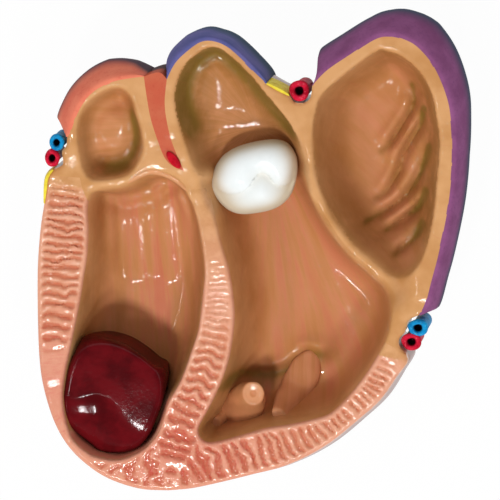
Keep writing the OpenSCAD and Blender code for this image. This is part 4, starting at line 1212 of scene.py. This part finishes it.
def valve():
    """The aortic valve: a smooth white pebble with a lower lip behind a curved crease."""
    outline = smooth(drawn(VALVE_OUTLINE), closed=True, step=0.4)
    centre = outline.mean(0) - [0, 0.3]
    outline = centre + (outline - centre) * [1.08, 1.04]
    for _ in range(24):
        outline = (np.roll(outline, 1, axis=0) + 2 * outline + np.roll(outline, -1, axis=0)) / 4
    waist = VALVE_HIGH[2] - 7.2
    fine = smooth(CREASE, step=0.3)
    rings = []
    for f in (0.08, 0.3, 0.5, 0.68, 0.82, 0.92, 0.975):
        p = centre + (outline - centre) * f
        low = VALVE_LOW[2] + (waist - VALVE_LOW[2]) * (1 - math.sqrt(1 - f * f))
        p = p - LEAN * (SECTION - waist)
        rings.append(level(p, np.clip(height(p) + 0.4, low, waist - 0.1)))
    for f in np.r_[1.0, 0.994, 0.983, 0.967, 0.945, 0.92, 0.89, np.linspace(0.86, 0.05, 26)]:
        p = centre + (outline - centre) * f
        high = waist + 7.0 * (1 - f ** 2.4) ** 0.55
        far, which = nearest(p, fine)
        below = fine[which][:, 1] > p[:, 1]
        notch = 1.3 * bump(np.linalg.norm(p - NOTCH, axis=1), 3.8)
        line = 0.6 * bump(far, 1.5) + 0.7 * below * bump(far - 1.5, 2.6)
        tops = np.full(len(p), high) - (notch + line) * ease((1 - f) / 0.12)
        tops = np.minimum(tops, VALVE_HIGH[2] - 0.02)
        rings.append(sighted(p, tops))
    verts, faces = loft(rings)
    return make("valve_form", verts, faces, "aortic_valve", "aortic_valve", WHITE, 0)


clot()
valve()


# ---------------------------------------------------------------- small fixed forms
def tube(path, radii, flat=1.0, sides=28):
    """A closed tube along a path in mm. Its rings can be flattened."""
    rings = []
    run = np.gradient(path, axis=0)
    a = np.linspace(0, 2 * math.pi, sides, endpoint=False)[:, None]
    for p, d, r in zip(path, run, radii):
        side = np.cross(d, [0, 0, 1])
        side /= np.linalg.norm(side)
        up = np.cross(side, d)
        up /= np.linalg.norm(up)
        rings.append(p + r * (side * np.cos(a) - up * np.sin(a) * flat))
    return loft(rings)


def plain_zones(obj, verts, **zones):
    """Stores the painted zones of a piece that is not part of the section, 0 if not given."""
    for key in ("across", "along", "depth", "hollow", "blush", "shaded_flank", "rib", "meat"):
        give(obj, key, np.zeros(len(verts)) + zones.get(key, 0))


def papillary_ridge(name, points, thick, shares, flat):
    """A low muscle ridge on the floor of the left ventricle."""
    path = smooth([[*(q[:2] + MIDDLE), q[2]] for q in np.array(points, float)], step=0.4)
    share = np.linspace(0, 1, len(path))
    path[:, 2] += height(path[:, :2]) - 0.9
    radii = thick * np.interp(share, np.linspace(0, 1, len(shares)), shares)
    radii = radii * np.sqrt(np.clip(1 - (2 * share - 1) ** 8, 0.03, 1))
    verts, faces = tube(path, radii, flat)
    verts[:, 2] = np.minimum(verts[:, 2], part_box(name)[1].z / MM)
    obj = make(name + "_form", verts, faces, "root", name, CAST, 0)
    plain_zones(obj, verts, depth=1, blush=0.3 * ripple(verts[:, 0] / 2, verts[:, 1] / 2, 31),
                across=verts[:, 0] * 1.5, along=verts[:, 1], meat=0.12)


def papillary_stump():
    """The cut muscle: a leaning stump with a pale face and a small rosy centre."""
    base, tip = drawn(np.array(STUMP_PATH)[:, :2])
    floor_z = float(height([base])[0])
    sides, red_rings = 40, 3
    a = np.linspace(0, 2 * math.pi, sides, endpoint=False)
    uneven = (1 + 0.05 * ripple(a * 1.3, a * 0, 32))[:, None]
    shape = np.column_stack([np.cos(a), np.sin(a)]) * uneven
    rings, caps = [], []
    for rise, radius in ((-1.5, 6.6), (0, 6.3), (1.5, 6.0), (3.0, 5.7), (4.5, 5.4), (5.8, 5.0),
                         (6.7, 4.4), (7.3, 3.8), (7.9, 3.5), (8.4, 3.2), (8.6, 2.8), (8.6, 2.4),
                         (8.5, 2.0), (8.45, 1.6), (8.45, 1.2), (8.4, 0.85), (8.3, 0.5),
                         (8.25, 0.2)):
        centre = base + (tip - base) * min(max(rise, 0) / 8.4, 1)
        ring = centre + shape * radius * [0.94, 1.04]
        rings.append(level(ring, floor_z + rise))
        caps.append(np.full(len(a), radius < 3.2))
    verts, faces = loft(rings)
    obj = make("papillary_stump_form", verts, faces, "root", "papillary_stump", CAST)
    cap = np.concatenate(caps)
    centre_red = (np.arange(len(verts)) >= len(verts) - red_rings * sides).astype(float)
    # Its sides carry some olive: partly paint and partly painted shade
    plain_zones(obj, verts, depth=np.where(cap & (centre_red < 1), 0, 1), hollow=0.3 * ~cap,
                meat=np.where(cap, 0.4 - 0.4 * centre_red, 0.2), blush=0.25 + centre_red)


papillary_stump()
papillary_ridge("papillary_long", LONG_PATH, 9.6, [0.25, 0.44, 0.5, 0.44, 0.2], 0.55)
papillary_ridge("papillary_small", SMALL_PATH, 3.6, [0.37, 0.5, 0.5], 0.8)


def valve_ring():
    """The rounded crest on the ledge between right atrium and right ventricle."""
    line = smooth(CREST[3:], step=0.4)
    share = np.linspace(0, 1, len(line))
    radius = 1.1 * np.sqrt(np.clip(1 - (2 * share - 1) ** 4, 0.02, 1))
    rise = 0.3 * ease(share * 6) * ease((1 - share) * 6)
    verts, faces = tube(np.column_stack([line, height(line) + rise - radius]), radius)
    obj = make("valve_ring_form", verts, faces, "root", "valve_ring", CAST, 0)
    plain_zones(obj, verts, depth=0.15, meat=0.25)


valve_ring()


def vessel(name, pixel, wide, tall, paint):
    """A cut vessel: a rounded lip round an open lumen, and a tube down the outside."""
    centre = seen(pixel)[0]
    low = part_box(name)[0].z / MM
    node = (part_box(name)[1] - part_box(name)[0]).x / MM / 2
    a = np.linspace(0, 2 * math.pi, 36, endpoint=False)
    round_shape = np.column_stack([np.cos(a), np.sin(a)])
    shape = round_shape * (1 + 0.07 * ripple(a * 1.1, a * 0 + wide, 33))[:, None]
    box_middle = (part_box(name)[0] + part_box(name)[1]) / 2 / MM
    tube_at = np.array([box_middle.x, box_middle.y])
    rings = []
    for z, r in ((low, 0.1), (low + 0.15, 0.5), (low + 0.6, 0.82), (low + 1.5, 1),
                 (SECTION - 6, 1)):
        rings.append(level(tube_at + round_shape * node * r, z))
    for down, r in ((3.0, 0.9), (1.6, 0.97), (0.8, 1.0), (0.3, 0.97), (0.0, 0.88), (-0.22, 0.76),
                    (-0.3, 0.66), (-0.2, 0.55), (0.1, 0.46), (0.5, 0.4), (1.2, 0.36), (2.4, 0.33),
                    (3.2, 0.15)):
        ring = centre + shape * r * [wide, tall]
        rings.append(level(ring, SECTION - down))
    verts, faces = loft(rings)
    obj = make(name + "_form", verts, faces, "root", name, paint, 0)
    # The inner rings of the lumen carry its painted shade
    give(obj, "lumen", np.repeat([0] * 13 + [0.2, 0.8, 1, 1, 1], len(a)))


vessel("left_vein", (56.5, 145), 2.0, 2.25, VEIN)
vessel("left_artery", (52, 160.5), 2.0, 2.4, ARTERY)
vessel("top_artery", (298.8, 90.5), 2.7, 2.85, ARTERY)
vessel("right_vein", (417.5, 326), 2.75, 2.3, VEIN)
vessel("right_artery", (411, 340), 2.75, 2.4, ARTERY)
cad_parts["conduction_node"].data.materials.clear()
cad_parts["conduction_node"].data.materials.append(RED)


def fat_pad(name, line, thick, paint):
    """A thin pad of fat on the outer wall, thickest in its middle."""
    path = LINES[line]
    out, share = out_directions(line)
    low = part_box(name)[0].z / MM
    levels = np.linspace(0, 1, 14)
    rings = []
    for u in levels:
        z = low + (SECTION - 0.08 - low) * u
        rings.append(level(wall_xy(path, z) - out * 0.2, z))
    for u in levels[::-1]:
        z = low + (SECTION - 0.08 - low) * u
        belly = math.sqrt(max(math.sin(math.pi * (0.03 + 0.91 * u)), 0))
        full = np.sin(np.pi * share) ** 0.6 * belly
        at = wall_xy(path, z) + out * (0.1 + thick * full)[:, None]
        rings.append(level(at, z))
    verts, faces = wrapped(rings)
    make(name + "_form", verts, faces, "root", name, paint, 55)


fat_pad("left_fat_pad", "left_fat", 1.15, FAT)
fat_pad("top_fat_pad", "top_fat", 1.0, FAT)

# ---------------------------------------------------------------- floor, light and camera
HALF_FLOOR, FLOOR_DROP = 4, 0.0005                     # in metres
floor = bpy.data.meshes.new("floor")
floor.from_pydata([(x * HALF_FLOOR, y * HALF_FLOOR, -FLOOR_DROP)
                   for x, y in ((-1, -1), (1, -1), (1, 1), (-1, 1))], [], [(0, 1, 2, 3)])
floor_obj = add_object("floor", floor)
f = Paint("floor_paint")
seen_light = f.node("ShaderNodeEmission")
seen_light.inputs[0].default_value = (1, 1, 1, 1)
path_node = f.node("ShaderNodeLightPath")
blend = f.node("ShaderNodeMixShader")
f.shader.inputs["Base Color"].default_value = (0.85, 0.85, 0.85, 1)
f.shader.inputs["Roughness"].default_value = 0.9
shows_white = f.maths("MAXIMUM", path_node.outputs["Is Camera Ray"],
                      path_node.outputs["Is Glossy Ray"])
shows_white = f.maths("MAXIMUM", shows_white, path_node.outputs["Is Transmission Ray"])
f.plug(blend.inputs[0], f.maths("MULTIPLY", shows_white, 0.97))
f.plug(blend.inputs[1], f.shader.outputs[0])
f.plug(blend.inputs[2], seen_light.outputs[0])
f.plug(f.tree.nodes["Material Output"].inputs[0], blend.outputs[0])
floor.materials.append(f.material)

# The room is white to the camera and in reflections, apart from its dim ceiling, and lights
# everything softly from all sides.
SOFT_LIGHT, CEILING = 0.55, 0.08
world = bpy.data.worlds.new("studio")
bpy.context.scene.world = world
world.use_nodes = True
room = world.node_tree


def room_node(kind, **inputs):
    n = room.nodes.new(kind)
    for name, value in inputs.items():
        socket = n.inputs[name.replace("_", " ")]
        if isinstance(value, bpy.types.NodeSocket):
            room.links.new(value, socket)
        else:
            socket.default_value = value
    return n


rays = room.nodes.new("ShaderNodeLightPath")
direction_node = room.nodes.new("ShaderNodeTexCoord")
upward = room_node("ShaderNodeSeparateXYZ", Vector=direction_node.outputs["Generated"])
wall_light = room_node("ShaderNodeMapRange", Value=upward.outputs["Z"], From_Min=0.35, From_Max=0.7,
                       To_Min=1.0, To_Max=CEILING)
shown = room_node("ShaderNodeMapRange", Value=rays.outputs["Is Glossy Ray"], To_Min=SOFT_LIGHT,
                  To_Max=wall_light.outputs[0])
shown = room_node("ShaderNodeMapRange", Value=rays.outputs["Is Transmission Ray"],
                  To_Min=shown.outputs[0], To_Max=1.0)
shown = room_node("ShaderNodeMapRange", Value=rays.outputs["Is Camera Ray"],
                  To_Min=shown.outputs[0], To_Max=1.0)
back = room.nodes["Background"]
back.inputs[0].default_value = (1, 1, 1, 1)
room.links.new(shown.outputs[0], back.inputs[1])

AIM = Vector((*(seen((250, 250))[0] * MM), SECTION * MM))


def lamp(name, direction, distance, size, power):
    light = bpy.data.lights.new(name, "AREA")
    light.shape = "SQUARE"
    light.size = size
    light.energy = power
    obj = add_object(name, light)
    way = Vector(direction).normalized()
    obj.location = AIM + way * distance
    obj.rotation_euler = way.to_track_quat("Z", "Y").to_euler()


lamp("key", (-0.12, -0.38, 1), 0.9, 0.09, 3.2)
lamp("right", (0.24, -0.63, 1), 0.9, 0.08, 1.6)
lamp("left", (-0.55, -0.15, 1), 0.9, 0.08, 0.7)

TILT = Vector((*LEAN, 1)).normalized()
FAR = 2.5
PHOTO_WIDE, FIT = 500, 1.0065                          # FIT matches the outline to the photograph
WIDTH = PHOTO_WIDE * PIXEL * MM / FIT
camera = bpy.data.cameras.new("camera")
camera.angle = 2 * math.atan(WIDTH / 2 / FAR)
camera.clip_end = 20
camera_obj = add_object("camera", camera)
camera_obj.location = AIM + TILT * FAR
right = Vector((0, 1, 0)).cross(TILT).normalized()
camera_obj.rotation_euler = Matrix((right, TILT.cross(right), TILT)).transposed().to_euler()
bpy.context.scene.camera = camera_obj
bpy.context.scene.view_settings.view_transform = "Standard"
